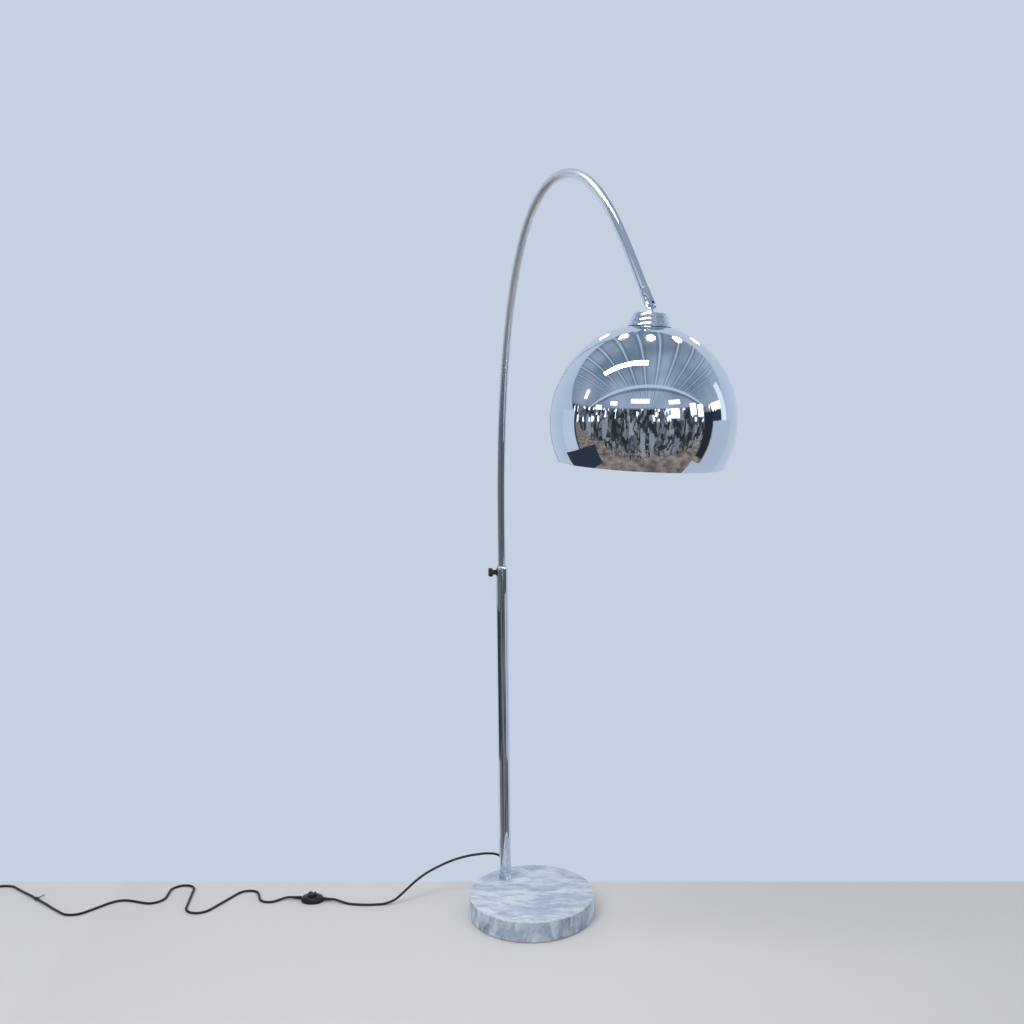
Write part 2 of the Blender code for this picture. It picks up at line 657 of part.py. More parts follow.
# Each route point is (forward, out, height). The cord springs from the pole in a low arch and
# comes down on the floor short of the switch.
LAMP_ROUTE = (
    (0.0961, -0.1025, 0.1060), (0.1179, -0.1110, 0.1030), (0.1413, -0.1120, 0.0998),
    (0.1644, -0.1095, 0.0965), (0.1865, -0.1041, 0.0926), (0.2078, -0.0971, 0.0876),
    (0.2284, -0.0896, 0.0808), (0.2484, -0.0822, 0.0730), (0.2674, -0.0748, 0.0638),
    (0.2846, -0.0671, 0.0532), (0.3011, -0.0588, 0.0408), (0.3186, -0.0506, 0.0262),
    (0.3389, -0.0434, 0.0110), (0.3614, -0.0375, 0.0039), (0.3847, -0.0340, 0.0030),
    (0.4082, -0.0328, 0.0030), (0.4300, -0.0342, 0.0030), (0.4520, -0.0385, 0.0033),
    (0.4722, -0.0460, 0.0050),
)
# From the switch on, the cord runs round these circles in turn, straight between them:
# forward, out, radius, and the way it turns, anticlockwise being +1.
PLUG_CIRCLES = (
    (0.6071, -0.0383, 0.027, 1), (0.6520, -0.0745, 0.028, -1), (0.7150, -0.0792, 0.029, 1),
    (0.8110, -0.0230, 0.033, -1), (0.8880, -0.1090, 0.029, 1), (0.9450, -0.0720, 0.032, -1),
    (1.0080, -0.0110, 0.045, 1), (1.1100, -0.0220, 0.041, -1), (1.3450, -0.0900, 0.045, 1),
)
PLUG_END = (1.4020, -0.1262)
# Height of that stretch of cord against its distance forward.
PLUG_HEIGHTS = (
    (0.6045, 0.0070), (0.6140, 0.0058), (0.6260, 0.0040), (0.6380, 0.0031), (0.6560, 0.0030),
    (1.1650, 0.0030), (1.2000, 0.0047), (1.2550, 0.0047), (1.2900, 0.0030), (1.3600, 0.0031),
    (1.4020, 0.0043),
)
TIE_FORWARD = 1.2300


def belt(start, circles, end):
    """Points (forward, out) on a line from start, round each circle in turn, to end."""
    stops = [(*start, 0.0, 0), *circles, (*end, 0.0, 0)]
    headings = []
    for (x1, y1, r1, s1), (x2, y2, r2, s2) in zip(stops, stops[1:]):
        apart = math.hypot(x2 - x1, y2 - y1)
        across = r2 * s2 - r1 * s1
        headings.append(math.atan2(y2 - y1, x2 - x1) - math.asin(across / apart))
    points = [start]
    for (x, y, radius, side), arriving, leaving in zip(circles, headings, headings[1:]):
        turn = (leaving - arriving) * side % (2 * math.pi)
        for i in range(13):
            heading = arriving + side * turn * i / 12
            points.append((x + radius * side * math.sin(heading),
                           y - radius * side * math.cos(heading)))
    return points + [end]


def height_at(forward):
    """Height of the cord's centre line, read from PLUG_HEIGHTS."""
    for (x1, z1), (x2, z2) in zip(PLUG_HEIGHTS, PLUG_HEIGHTS[1:]):
        if forward <= x2:
            share = max(0.0, (forward - x1) / (x2 - x1))
            return z1 + (z2 - z1) * share
    return PLUG_HEIGHTS[-1][1]


def plug_line(tip, outward):
    """Centre line of the cord from the switch's far relief to the coil."""
    start = tip + outward * 0.008
    flat = [Vector((*point, 0.0))
            for point in belt((start.dot(HEADING), start.dot(SIDEWAYS)), PLUG_CIRCLES, PLUG_END)]
    return [tip] + [floor_point(point.x, point.y, height_at(point.x))
                    for point in respace(flat, 0.015)]


def switch_frame():
    """The foot switch's frame: X along the cord, Z up, on the floor."""
    turn = Matrix.Rotation(math.pi + CORD_HEADING + SWITCH_YAW, 4, "Z")
    return Matrix.Translation(floor_point(*SWITCH_CENTRE, 0.0)) @ turn


def make_switch():
    frame = switch_frame()
    half_length, half_width = 0.0285, 0.0215
    squeeze = Matrix.Diagonal((1.0, half_width / half_length, 1.0, 1.0))

    base = turned("switch_base", [(0, 0.0040), (half_length - 0.0006, 0.0040),
                                  (half_length, 0.0034), (half_length, 0.0008),
                                  (half_length - 0.0008, 0), (0, 0)], "black_plastic", 32)
    base.data.transform(squeeze)
    base.matrix_local = frame

    dome = [(0.0090, 0.0150), (0.0170, 0.0147), (0.0225, 0.0137), (0.0262, 0.0118),
            (0.0280, 0.0088), (half_length, 0.0043)]
    cover = turned("switch_cover", dome, "black_plastic", 32, wall=0.0016)
    cover.data.transform(squeeze)
    cover.matrix_local = frame
    combine(cover, place("button_hole", bar_mesh(0.0112, 0.03), "steel", None,
                         frame @ at(0, 0, 0.02), True))
    for end in (-1, 1):
        start = frame @ Vector((end * 0.020, 0, PORT_Z))
        finish = frame @ Vector((end * 0.035, 0, PORT_Z))
        combine(cover, cylinder(f"cord_port_{end}", 0.0040, start, finish, "steel", 14,
                                cutter=True))
    settle(cover)

    block("switch_mechanism", (0.020, 0.016, 0.0035), (0, 0, 0.0043 + 0.00175), "white_plastic",
          bevel=0.0006, matrix=frame)

    button_axis = axis_empty("switch_button_axis", frame.translation,
                             (0, 0, math.pi + CORD_HEADING + SWITCH_YAW))
    button = turned("switch_button", [(0, 0.0232), (0.0080, 0.0232), (0.0098, 0.0222),
                                      (0.0106, 0.0200), (0.0108, 0.0112), (0, 0.0112)],
                    "black_plastic", 28, button_axis)
    dip = cylinder("button_dip", 0.0110, (0, -0.02, 0.0300), (0, 0.02, 0.0300), "steel", 32,
                   button_axis, cutter=True)
    settle(combine(button, dip))

    for name, end in (("switch_relief_lamp_side", -1), ("switch_relief_plug_side", 1)):
        start = frame @ Vector((end * 0.0288, 0, PORT_Z))
        outward = frame.to_3x3() @ Vector((end, 0, 0))
        relief(name, start, outward)


def bar_mesh(radius, depth):
    mesh = bpy.data.meshes.new("bar")
    work = bmesh.new()
    bmesh.ops.create_cone(work, cap_ends=True, segments=28, radius1=radius, radius2=radius,
                          depth=depth)
    work.to_mesh(mesh)
    work.free()
    return mesh


def relief(name, start, outward):
    """A tapered strain relief from a housing's wall to the cord."""
    profile = [(0, 0), (0.0050, 0), (0.0048, -0.002)]
    for ring in range(3):
        z = -0.0045 - 0.0055 * ring
        radius = 0.0045 - 0.0004 * ring
        profile += [(radius, z), (radius - 0.0007, z - 0.0005), (radius - 0.0007, z - 0.0022)]
    profile += [(0.0036, -RELIEF_LENGTH), (0, -RELIEF_LENGTH)]
    turned(name, profile, "black_plastic", 16, matrix=along(start, -Vector(outward)))


def switch_end(side):
    """Where the cord meets the tip of one of the switch's reliefs, and the way it leaves."""
    frame = switch_frame()
    outward = frame.to_3x3() @ Vector((side, 0, 0))
    return frame @ Vector((side * (0.0288 + RELIEF_LENGTH + GAP), 0, PORT_Z)), outward


def make_cords():
    # grommet in the pole, and the lead that turns up from it inside
    exit_point = Vector((POLE_X, 0, CORD_EXIT_Z))
    back = Vector((-1, 0, 0))
    turned("cord_grommet", [(0.0034, -0.0112), (0.0045, -0.0112), (0.0045, -0.0143),
                            (0.0064, -0.0143), (0.0062, -0.0156), (0.0050, -0.0168),
                            (0.0034, -0.0168)], "black_plastic", 20,
           matrix=along(exit_point, -back), ring=True)
    bend = [exit_point + back * 0.0166, exit_point + back * 0.0110]
    for angle in (15, 35, 55, 75, 90):
        a = math.radians(angle)
        bend.append(exit_point + Vector((-0.0110 + 0.0110 * math.sin(a), 0,
                                         0.0110 * (1 - math.cos(a)))))
    bend += [exit_point + Vector((0, 0, z)) for z in (0.03, 0.15, 0.29)]
    tube("lead_pole", bend, LEAD_RADIUS, "cord_black", resolution=1)

    start = exit_point + back * (0.0168 + GAP)
    near_end, lamp_side = switch_end(-1)
    route = [start, start + back * 0.010]
    route += [floor_point(*point) for point in LAMP_ROUTE]
    route += [near_end + lamp_side * 0.006, near_end]
    tube("cord_lamp_to_switch", smooth_path(route, 0.0075), CORD_RADIUS, "cord_black")

    line = plug_line(*switch_end(1))
    tube("cord_switch_to_coil", line, CORD_RADIUS, "cord_black")
    make_cable_tie(line)
    make_coil()


def make_cable_tie(line):
    """A small strap left on the cord, with its head beside it and a short tail."""
    spot = floor_point(TIE_FORWARD, 0.0)
    nearest = min(range(1, len(line) - 1), key=lambda i: abs((line[i] - spot).dot(HEADING)))
    before, here, after = line[nearest - 1:nearest + 2]
    heading = (after - before).normalized()
    frame = along(here, heading)
    strap = turned("cable_tie", [(CORD_RADIUS + GAP, 0.0020), (0.0044, 0.0020),
                                 (0.0044, -0.0020), (CORD_RADIUS + GAP, -0.0020)],
                   "black_plastic", 20, matrix=frame, ring=True)
    side = heading.cross(Vector((0, 0, 1))).normalized()
    level = here + Vector((0, 0, 0.0002))
    tail = cylinder("tie_tail", 0.0011, level + side * 0.0040, level + side * 0.0230
                    + heading * 0.006, "steel", 8, cutter=True)
    head = cylinder("tie_head", 0.0026, level + side * 0.0040 - heading * 0.0024,
                    level + side * 0.0040 + heading * 0.0024, "steel", 8, cutter=True)
    combine(strap, head, "UNION")
    combine(strap, tail, "UNION")
    clear = cylinder("tie_bore", CORD_RADIUS + GAP, here - heading * 0.01, here + heading * 0.01,
                     "steel", 20, cutter=True)
    settle(combine(strap, clear))


def make_coil():
    centre = floor_point(*COIL_CENTRE, 0.0)
    soft = 0.003
    section = [(COIL_INNER + soft, COIL_TOP), (COIL_OUTER - soft, COIL_TOP),
               (COIL_OUTER, COIL_TOP - soft), (COIL_OUTER, COIL_BOTTOM + soft),
               (COIL_OUTER - soft, COIL_BOTTOM), (COIL_INNER + soft, COIL_BOTTOM),
               (COIL_INNER, COIL_BOTTOM + soft), (COIL_INNER, COIL_TOP - soft)]
    turned("cord_coil", section, "cord_black", 40, matrix=Matrix.Translation(centre), ring=True)

    # a strap round the coil's section, on the side away from the wall
    radius = (COIL_INNER + COIL_OUTER) / 2
    middle = (COIL_TOP + COIL_BOTTOM) / 2
    turn = Matrix.Rotation(CORD_HEADING - math.pi / 2, 4, "Z")
    frame = Matrix.Translation(centre + SIDEWAYS * radius + Vector((0, 0, middle))) @ turn
    width = COIL_OUTER - COIL_INNER + 0.0016
    height = COIL_TOP - COIL_BOTTOM + 0.0006
    strap = block("coil_tie", (width + 0.0016, 0.006, height + 0.0016), (0, 0, 0),
                  "black_plastic", bevel=0.0006, matrix=frame)
    settle(combine(strap, block("tie_opening", (width, 0.02, height), (0, 0, 0), "steel",
                                cutter=True, matrix=frame)))


def make_plug():
    """A flat two-blade plug lying past the coil, with its relief towards the coil."""
    relief_tip = floor_point(COIL_CENTRE[0] + 0.058, COIL_CENTRE[1] - 0.027, 0.0076)
    turn = Matrix.Rotation(math.pi + CORD_HEADING, 4, "Z")
    frame = Matrix.Translation(relief_tip) @ turn
    forward = frame.to_3x3() @ Vector((1, 0, 0))
    relief("plug_relief", frame @ Vector((RELIEF_LENGTH, 0, 0)), -forward)
    body_start = RELIEF_LENGTH + GAP
    body_length = 0.024
    block("plug_body", (body_length, 0.024, 0.0150), (body_start + body_length / 2, 0, 0),
          "black_plastic", bevel=0.0022, matrix=frame)
    blade_start = body_start + body_length + GAP
    blade_length = 0.0170
    for side in (-1, 1):
        block(f"plug_blade_{'left' if side < 0 else 'right'}", (blade_length, 0.0015, 0.0063),
              (blade_start + blade_length / 2, side * 0.00635, 0), "brass", matrix=frame)

    # the short stretch of cord from the coil to the plug
    start = floor_point(COIL_CENTRE[0] + 0.0290, COIL_CENTRE[1] - 0.0290, 0.0075)
    end = relief_tip - forward * GAP
    tube("cord_coil_to_plug", smooth_path([start, start.lerp(end, 0.5), end], 0.0075),
         CORD_RADIUS, "cord_black")


make_base()
make_pole()
make_clamp()
make_arc()
make_knuckle()
make_stem()
make_canopy()
make_bulb(make_lamp_holder(make_shade()))
make_switch()
make_cords()
make_plug()
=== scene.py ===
"""Looks for the arc floor lamp: fine chrome, marble, enamel and plastic round the CAD frame.

Units are metres in the CAD's frame: +Z up, +X from the pole towards the shade.
"""
import json
import math

import bmesh
import bpy
from mathutils import Matrix, Vector


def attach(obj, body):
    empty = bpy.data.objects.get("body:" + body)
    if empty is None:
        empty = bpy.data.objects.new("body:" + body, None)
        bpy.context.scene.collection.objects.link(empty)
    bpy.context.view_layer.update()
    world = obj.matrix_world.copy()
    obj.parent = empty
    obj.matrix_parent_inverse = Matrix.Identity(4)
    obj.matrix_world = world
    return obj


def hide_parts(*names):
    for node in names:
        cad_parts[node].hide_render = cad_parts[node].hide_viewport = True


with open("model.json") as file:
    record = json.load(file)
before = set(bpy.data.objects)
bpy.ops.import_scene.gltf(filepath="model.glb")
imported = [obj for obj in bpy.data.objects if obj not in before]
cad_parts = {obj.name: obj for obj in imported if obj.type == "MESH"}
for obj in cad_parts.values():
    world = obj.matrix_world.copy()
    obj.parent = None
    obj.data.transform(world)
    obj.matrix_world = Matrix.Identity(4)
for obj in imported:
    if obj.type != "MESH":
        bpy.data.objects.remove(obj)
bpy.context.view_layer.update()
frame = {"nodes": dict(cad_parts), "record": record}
NODES = frame["nodes"]

# ---------- dimensions, as in the CAD
GAP = 0.0003
BASE_RADIUS = 0.150
BASE_TOP = 0.054
FELT_TOP = 0.0020
POLE_X = -0.100
POLE_RADIUS = 0.014
POLE_WALL = 0.0012
POLE_TOP = 0.8275
FOOT = BASE_TOP + GAP
CORD_EXIT_Z = 0.1065
CORD_EXIT_OUT = 0.0171
SCREW_Z = 0.8195
SCREW_TURN = math.radians(60)
BUSH_TOP = 0.8345
BUSH_DEPTH = 0.030
BUSH_SPIGOT = 0.0125
KNOB_SEAT = 0.0192
TUBE_RADIUS = 0.0095
TUBE_WALL = 0.0012
TUBE_BOTTOM = 0.505
ARC_START = 0.930
ARC_RISE = 0.436
CREST = Vector((0.109, 0.0, 1.635))
CREST_BACK = 0.139
CREST_FORWARD = 0.107
ARC_FALL = 0.121
END_SLOPE = math.radians(30)
TUBE_END = 0.0101
HEAD_PIVOT = Vector((0.350, 0.0, 1.366))
SHADE_TILT = math.radians(4)
SHADE_RADIUS = 0.180
SHADE_WALL = 0.0010
SHADE_CENTRE = -0.212
RIM_DROP = 0.0791
STEM_RADIUS = 0.0049
CANOPY_TOP = -0.0120
CANOPY_WALL = 0.0012
# radius and height of each tier's top, then of its lower edge
CANOPY_TIERS = ((0.0305, -0.0120, 0.0347, -0.0198), (0.0339, -0.0202, 0.0385, -0.0280),
                (0.0377, -0.0284, 0.0425, -0.0363))
VENT_COUNT = 12
VENT_HALF = (0.0122, 0.0088)
VENT_ANGLE = math.radians(32.2)
CORD_RADIUS = 0.003
CORD_HEADING = math.radians(47.9)
COIL_CENTRE = (1.425, -0.0927)
SWITCH_CENTRE = (0.5455, -0.0590)
SWITCH_YAW = math.radians(-6)
SWITCH_HALF = (0.0285, 0.0215)
RELIEF_LENGTH = 0.022
PORT_Z = 0.0070
BULB_TIP = -0.0659
RING_STEPS = 72

UP = Vector((0.0, 0.0, 1.0))
HEADING = Vector((-math.cos(CORD_HEADING), -math.sin(CORD_HEADING), 0.0))
SIDEWAYS = Vector((math.sin(CORD_HEADING), -math.cos(CORD_HEADING), 0.0))
UP_THE_ARC = Vector((-math.sin(END_SLOPE), 0.0, math.cos(END_SLOPE)))
SCREW_OUT = Vector((-math.cos(SCREW_TURN), -math.sin(SCREW_TURN), 0.0))
HEAD = Matrix.Translation(HEAD_PIVOT) @ Matrix.Rotation(SHADE_TILT, 4, "Y")
ARC_END = Matrix.Translation(HEAD_PIVOT) @ Matrix.Rotation(-END_SLOPE, 4, "Y")

# ---------- camera
camera_data = bpy.data.cameras.new("camera")
camera_data.lens = 34.68
camera_data.sensor_width = 36.0
camera_data.shift_x = -0.0418
camera_data.shift_y = 0.1353
camera = bpy.data.objects.new("camera", camera_data)
bpy.context.scene.collection.objects.link(camera)
camera.location = (1.6647, -1.4307, 1.1424)
camera.rotation_euler = (math.radians(77.35), 0.0, math.radians(47.87))
bpy.context.scene.camera = camera


# ---------- materials
class Nodes:
    """A node tree and short ways to add to it."""

    def __init__(self, tree):
        self.tree = tree

    def add(self, kind, inputs=(), **settings):
        node = self.tree.nodes.new(kind)
        for key, value in settings.items():
            setattr(node, key, value)
        for key, value in dict(inputs).items():
            if isinstance(value, bpy.types.NodeSocket):
                self.tree.links.new(value, node.inputs[key])
            else:
                node.inputs[key].default_value = value
        return node

    def maths(self, operation, a, b=0.0):
        return self.add("ShaderNodeMath", {0: a, 1: b}, operation=operation).outputs[0]

    def blend(self, share, first, second):
        node = self.add("ShaderNodeMix", {0: share, 6: first, 7: second}, data_type="RGBA")
        return node.outputs[2]

    def remap(self, value, low, high, to_low=0.0, to_high=1.0, kind="LINEAR"):
        node = self.add("ShaderNodeMapRange", {"Value": value, "From Min": low, "From Max": high,
                                               "To Min": to_low, "To Max": to_high},
                        interpolation_type=kind)
        return node.outputs["Result"]

    def step(self, value, edge, soft=0.01):
        return self.remap(value, edge - soft, edge + soft, kind="SMOOTHSTEP")

    def band(self, value, low, high, soft=0.01):
        return self.maths("MULTIPLY", self.step(value, low, soft),
                          self.maths("SUBTRACT", 1.0, self.step(value, high, soft)))

    def both(self, *shares):
        total = shares[0]
        for share in shares[1:]:
            total = self.maths("MULTIPLY", total, share)
        return total

    def noise(self, where, scale, detail=4.0, rough=0.5, distortion=0.0):
        node = self.add("ShaderNodeTexNoise", {"Vector": where, "Scale": scale, "Detail": detail,
                                               "Roughness": rough, "Distortion": distortion})
        return node.outputs["Fac"]


class Shader(Nodes):
    """A Principled material; settings are its sockets, with _ for a space."""

    def __init__(self, name, **settings):
        self.material = bpy.data.materials.new(name)
        self.material.use_nodes = True
        super().__init__(self.material.node_tree)
        self.principled = self.tree.nodes["Principled BSDF"]
        for key, value in settings.items():
            self.principled.inputs[key.replace("_", " ")].default_value = value

    def place(self, scale=(1, 1, 1), turn=(0, 0, 0)):
        """Object coordinates, turned and then stretched."""
        source = self.add("ShaderNodeTexCoord").outputs["Object"]
        turned = self.add("ShaderNodeMapping", {"Vector": source, "Rotation": turn})
        return self.add("ShaderNodeMapping", {"Vector": turned.outputs[0], "Scale": scale}).outputs[0]

    def bump(self, height, distance, strength=1.0):
        node = self.add("ShaderNodeBump", {"Height": height, "Distance": distance,
                                           "Strength": strength})
        self.tree.links.new(node.outputs[0], self.principled.inputs["Normal"])

    def link(self, socket, name):
        self.tree.links.new(socket, self.principled.inputs[name])


def chrome_material(name, tint, low, high, scratch):
    """Polished plating: fine wipe marks and faint smudges in the roughness."""
    shader = Shader(name, Metallic=1.0)
    smudge = shader.noise(shader.place(), 14.0, 5.0, 0.6, 0.6)
    fine = shader.noise(shader.place((60, 60, 900)), 3.0, 3.0)
    rough = shader.maths("ADD", shader.remap(smudge, 0.45, 0.75, low, high),
                         shader.remap(fine, 0.55, 0.85, 0.0, scratch))
    shader.link(rough, "Roughness")
    dull = tuple(channel * 0.93 for channel in tint)
    shader.link(shader.blend(shader.remap(smudge, 0.4, 0.8), (*tint, 1), (*dull, 1)), "Base Color")
    shader.bump(shader.noise(shader.place(), 7.0, 2.0), 0.00012, 0.25)
    return shader.material


def arc_material():
    """The arc's plating: slightly satin over the crest, polished elsewhere; over the crest its colour
    is also brightened, a painted highlight.
    """
    shader = Shader("chrome_arc", Metallic=1.0)
    where = shader.place()
    axes = shader.add("ShaderNodeSeparateXYZ", {0: where})
    # mask over the crest: it adds satin roughness and drives the painted highlight below
    crest_satin_and_painted_highlight = shader.both(shader.remap(axes.outputs["Z"], 1.10, 1.42, kind="SMOOTHSTEP"),
                       shader.remap(axes.outputs["X"], 0.17, 0.27, 1.0, 0.0, "SMOOTHSTEP"))
    smudge = shader.noise(where, 14.0, 5.0, 0.6, 0.6)
    polished = shader.remap(smudge, 0.45, 0.75, 0.05, 0.12)
    rough = shader.maths("ADD", polished, shader.maths("MULTIPLY", crest_satin_and_painted_highlight, 0.34))
    shader.link(rough, "Roughness")
    # painted highlight: the crest's base colour is brightened towards pale
    shader.link(shader.blend(crest_satin_and_painted_highlight, (0.76, 0.81, 0.88, 1), (0.96, 0.98, 1.0, 1)), "Base Color")
    shader.bump(shader.noise(where, 7.0, 2.0), 0.00012, 0.25)
    return shader.material


def marble_material():
    """White marble with long grey-blue veins that run in upright sheets through the disc. On the side
    the upright veins also carry painted shade, stronger towards the disc's left and right as seen
    from the camera.
    """
    shader = Shader("marble_white", Roughness=0.2, Coat_Weight=0.25, Coat_Roughness=0.08)
    turn = (math.radians(4), math.radians(-8), math.radians(-44))
    warp_at = shader.place((3.0, 3.0, 3.0), turn)
    warp = shader.add("ShaderNodeTexNoise", {"Vector": warp_at, "Scale": 2.2, "Detail": 4.0})
    shift = shader.add("ShaderNodeVectorMath", {0: warp.outputs["Color"], 1: (0.5, 0.5, 0.5)},
                       operation="SUBTRACT")
    bent = shader.add("ShaderNodeVectorMath", {0: shift.outputs[0], "Scale": 0.060},
                      operation="SCALE")
    source = shader.place((1, 1, 1), turn)
    moved = shader.add("ShaderNodeVectorMath", {0: source, 1: bent.outputs[0]}, operation="ADD")

    def streak(scale, size, detail=6.0, rough=0.6):
        stretched = shader.add("ShaderNodeMapping", {"Vector": moved.outputs[0], "Scale": scale})
        return shader.noise(stretched.outputs[0], size, detail, rough)

    broad = streak((4.5, 14.0, 3.0), 2.6, 6.0, 0.66)
    veins = streak((9.0, 38.0, 6.0), 2.1, 8.0, 0.72)
    thin = streak((11.0, 80.0, 9.0), 2.2, 7.0, 0.74)
    upright = streak((13.0, 10.0, 5.0), 2.1, 7.0, 0.70)
    cloud = shader.noise(source, 34.0, 7.0, 0.72)
    white = (0.76, 0.83, 0.92, 1)
    grey = (0.300, 0.385, 0.515, 1)
    dark = (0.120, 0.170, 0.260, 1)
    height = shader.add("ShaderNodeSeparateXYZ", {0: shader.place()}).outputs["Z"]
    side = shader.maths("SUBTRACT", 1.0, shader.step(height, BASE_TOP - 0.0015, 0.0010))
    colour = shader.blend(shader.remap(broad, 0.42, 0.60, 0.0, 0.66), white, grey)
    colour = shader.blend(shader.remap(veins, 0.49, 0.64, 0.0, 0.78), colour, grey)
    colour = shader.blend(shader.remap(thin, 0.56, 0.70, 0.0, 0.60), colour, dark)
    # painted shade in a vein pattern: dark upright veins only on the side face, stronger towards the
    # disc's left and right as seen from the camera
    across = shader.add("ShaderNodeVectorMath", {0: shader.place(), 1: tuple(-HEADING)},
                        operation="DOT_PRODUCT").outputs["Value"]
    painted_side_shade = shader.remap(shader.maths("ABSOLUTE", across), 0.02, 0.11, 0.38, 1.0)
    side_veins_and_painted_shade = shader.both(side, painted_side_shade, shader.remap(upright, 0.42, 0.62, 0.0, 0.92))
    colour = shader.blend(side_veins_and_painted_shade, colour, (0.170, 0.230, 0.325, 1))
    colour = shader.blend(shader.remap(cloud, 0.52, 0.72, 0.0, 0.45), colour,
                          (0.86, 0.885, 0.915, 1))
    # painted highlight: a lighter band, in cloudy patches, round the rounded top edge
    edge = shader.both(shader.band(height, BASE_TOP - 0.0042, BASE_TOP - 0.0006, 0.0008),
                       shader.remap(cloud, 0.34, 0.52))
    colour = shader.blend(shader.maths("MULTIPLY", edge, 0.55), colour, (0.90, 0.93, 0.96, 1))
    shader.link(colour, "Base Color")
    shader.link(shader.remap(cloud, 0.3, 0.7, 0.16, 0.28), "Roughness")
    shader.bump(shader.noise(source, 320.0, 3.0), 0.00005, 0.25)
    return shader.material


def plastic_material(name, colour, low, high, grain=900.0, depth=0.00005):
    """Moulded plastic: an even skin with a fine spark texture and uneven sheen."""
    shader = Shader(name, Specular_IOR_Level=0.45)
    where = shader.place()
    patch = shader.noise(where, 45.0, 4.0)
    lighter = tuple(min(1.0, channel * 1.35 + 0.004) for channel in colour)
    shader.link(shader.blend(shader.remap(patch, 0.4, 0.75), (*colour, 1), (*lighter, 1)),
                "Base Color")
    shader.link(shader.remap(patch, 0.3, 0.7, low, high), "Roughness")
    shader.bump(shader.noise(where, grain, 2.0), depth, 0.4)
    return shader.material


def enamel_material():
    """White enamel inside the shade, with a slight orange peel."""
    shader = Shader("white_enamel", Coat_Weight=0.3, Coat_Roughness=0.12)
    where = shader.place()
    patch = shader.noise(where, 9.0, 3.0)
    shader.link(shader.blend(patch, (0.86, 0.87, 0.87, 1), (0.91, 0.91, 0.90, 1)), "Base Color")
    shader.link(shader.remap(patch, 0.3, 0.7, 0.28, 0.38), "Roughness")
    shader.bump(shader.noise(where, 420.0, 2.0), 0.00004, 0.3)
    return shader.material


def felt_material():
    """Grey felt under the base."""
    shader = Shader("felt_grey", Roughness=0.95, Sheen_Weight=0.4)
    where = shader.place()
    fibre = shader.noise(where, 900.0, 6.0, 0.7)
    shader.link(shader.blend(fibre, (0.045, 0.045, 0.05, 1), (0.16, 0.16, 0.17, 1)), "Base Color")
    shader.bump(fibre, 0.0004, 0.7)
    return shader.material


def turned_steel_material(name, colour, low, high):
    """Machined metal with tool marks."""
    shader = Shader(name, Metallic=1.0)
    marks = shader.noise(shader.place((1, 1, 24)), 120.0, 4.0, 0.6)
    patch = shader.noise(shader.place(), 30.0, 3.0)
    darker = tuple(channel * 0.8 for channel in colour)
    shader.link(shader.blend(patch, (*colour, 1), (*darker, 1)), "Base Color")
    shader.link(shader.remap(marks, 0.3, 0.7, low, high), "Roughness")
    shader.bump(marks, 0.00003, 0.4)
    return shader.material


def opal_material():
    """The bulb's opal glass."""
    shader = Shader("opal_glass", Coat_Weight=0.5, Coat_Roughness=0.05,
                    Emission_Color=(1.0, 0.96, 0.90, 1), Emission_Strength=30.0)
    where = shader.place()
    patch = shader.noise(where, 20.0, 3.0)
    shader.link(shader.blend(patch, (0.90, 0.89, 0.86, 1), (0.95, 0.945, 0.92, 1)), "Base Color")
    shader.link(shader.remap(patch, 0.3, 0.7, 0.18, 0.26), "Roughness")
    return shader.material


CHROME = chrome_material("chrome_polished", (0.74, 0.80, 0.885), 0.015, 0.05, 0.012)
CHROME_TUBE = chrome_material("chrome_tube", (0.74, 0.79, 0.86), 0.05, 0.10, 0.03)
CHROME_SATIN = chrome_material("chrome_satin", (0.84, 0.90, 0.97), 0.10, 0.16, 0.03)
CHROME_ARC = arc_material()
MARBLE = marble_material()
FELT = felt_material()
STEEL = turned_steel_material("steel_turned", (0.60, 0.61, 0.63), 0.25, 0.42)
BRASS = turned_steel_material("brass_turned", (0.76, 0.60, 0.32), 0.22, 0.38)
BLACK = plastic_material("plastic_black", (0.016, 0.018, 0.022), 0.32, 0.46)
KNOB_BLACK = plastic_material("knob_black", (0.014, 0.016, 0.020), 0.25, 0.36, 500.0, 0.00003)
WHITE_PLASTIC = plastic_material("plastic_white", (0.74, 0.74, 0.72), 0.35, 0.48)
CORD_BLACK = plastic_material("cord_pvc", (0.020, 0.022, 0.027), 0.36, 0.50, 420.0, 0.00006)
OPAL = opal_material()
ENAMEL = enamel_material()
SLOT_MATERIALS = {"chrome": CHROME, "marble": MARBLE, "felt": FELT, "steel": STEEL, "brass": BRASS,
                  "black_plastic": BLACK, "white_plastic": WHITE_PLASTIC,
                  "cord_black": CORD_BLACK, "bulb_glass": OPAL}
for part in frame["record"]["subparts"]:
    for slot in NODES[part["node"]].material_slots:
        slot.material = SLOT_MATERIALS[part["material_slot"]]


# ---------- mesh helpers
def new_piece(name, verts, faces, material, matrix=None, sharp=40):
    """A smooth mesh object; edges bent by more than sharp degrees stay sharp."""
    mesh = bpy.data.meshes.new(name)
    mesh.from_pydata([tuple(v) for v in verts], [], faces)
    work = bmesh.new()
    work.from_mesh(mesh)
    bmesh.ops.recalc_face_normals(work, faces=work.faces)
    work.to_mesh(mesh)
    work.free()
    if matrix is not None:
        mesh.transform(matrix)
    mesh.materials.append(material)
    mesh.shade_smooth()
    mesh.set_sharp_from_angle(angle=math.radians(sharp))
    obj = bpy.data.objects.new(name, mesh)
    bpy.context.scene.collection.objects.link(obj)
    return obj


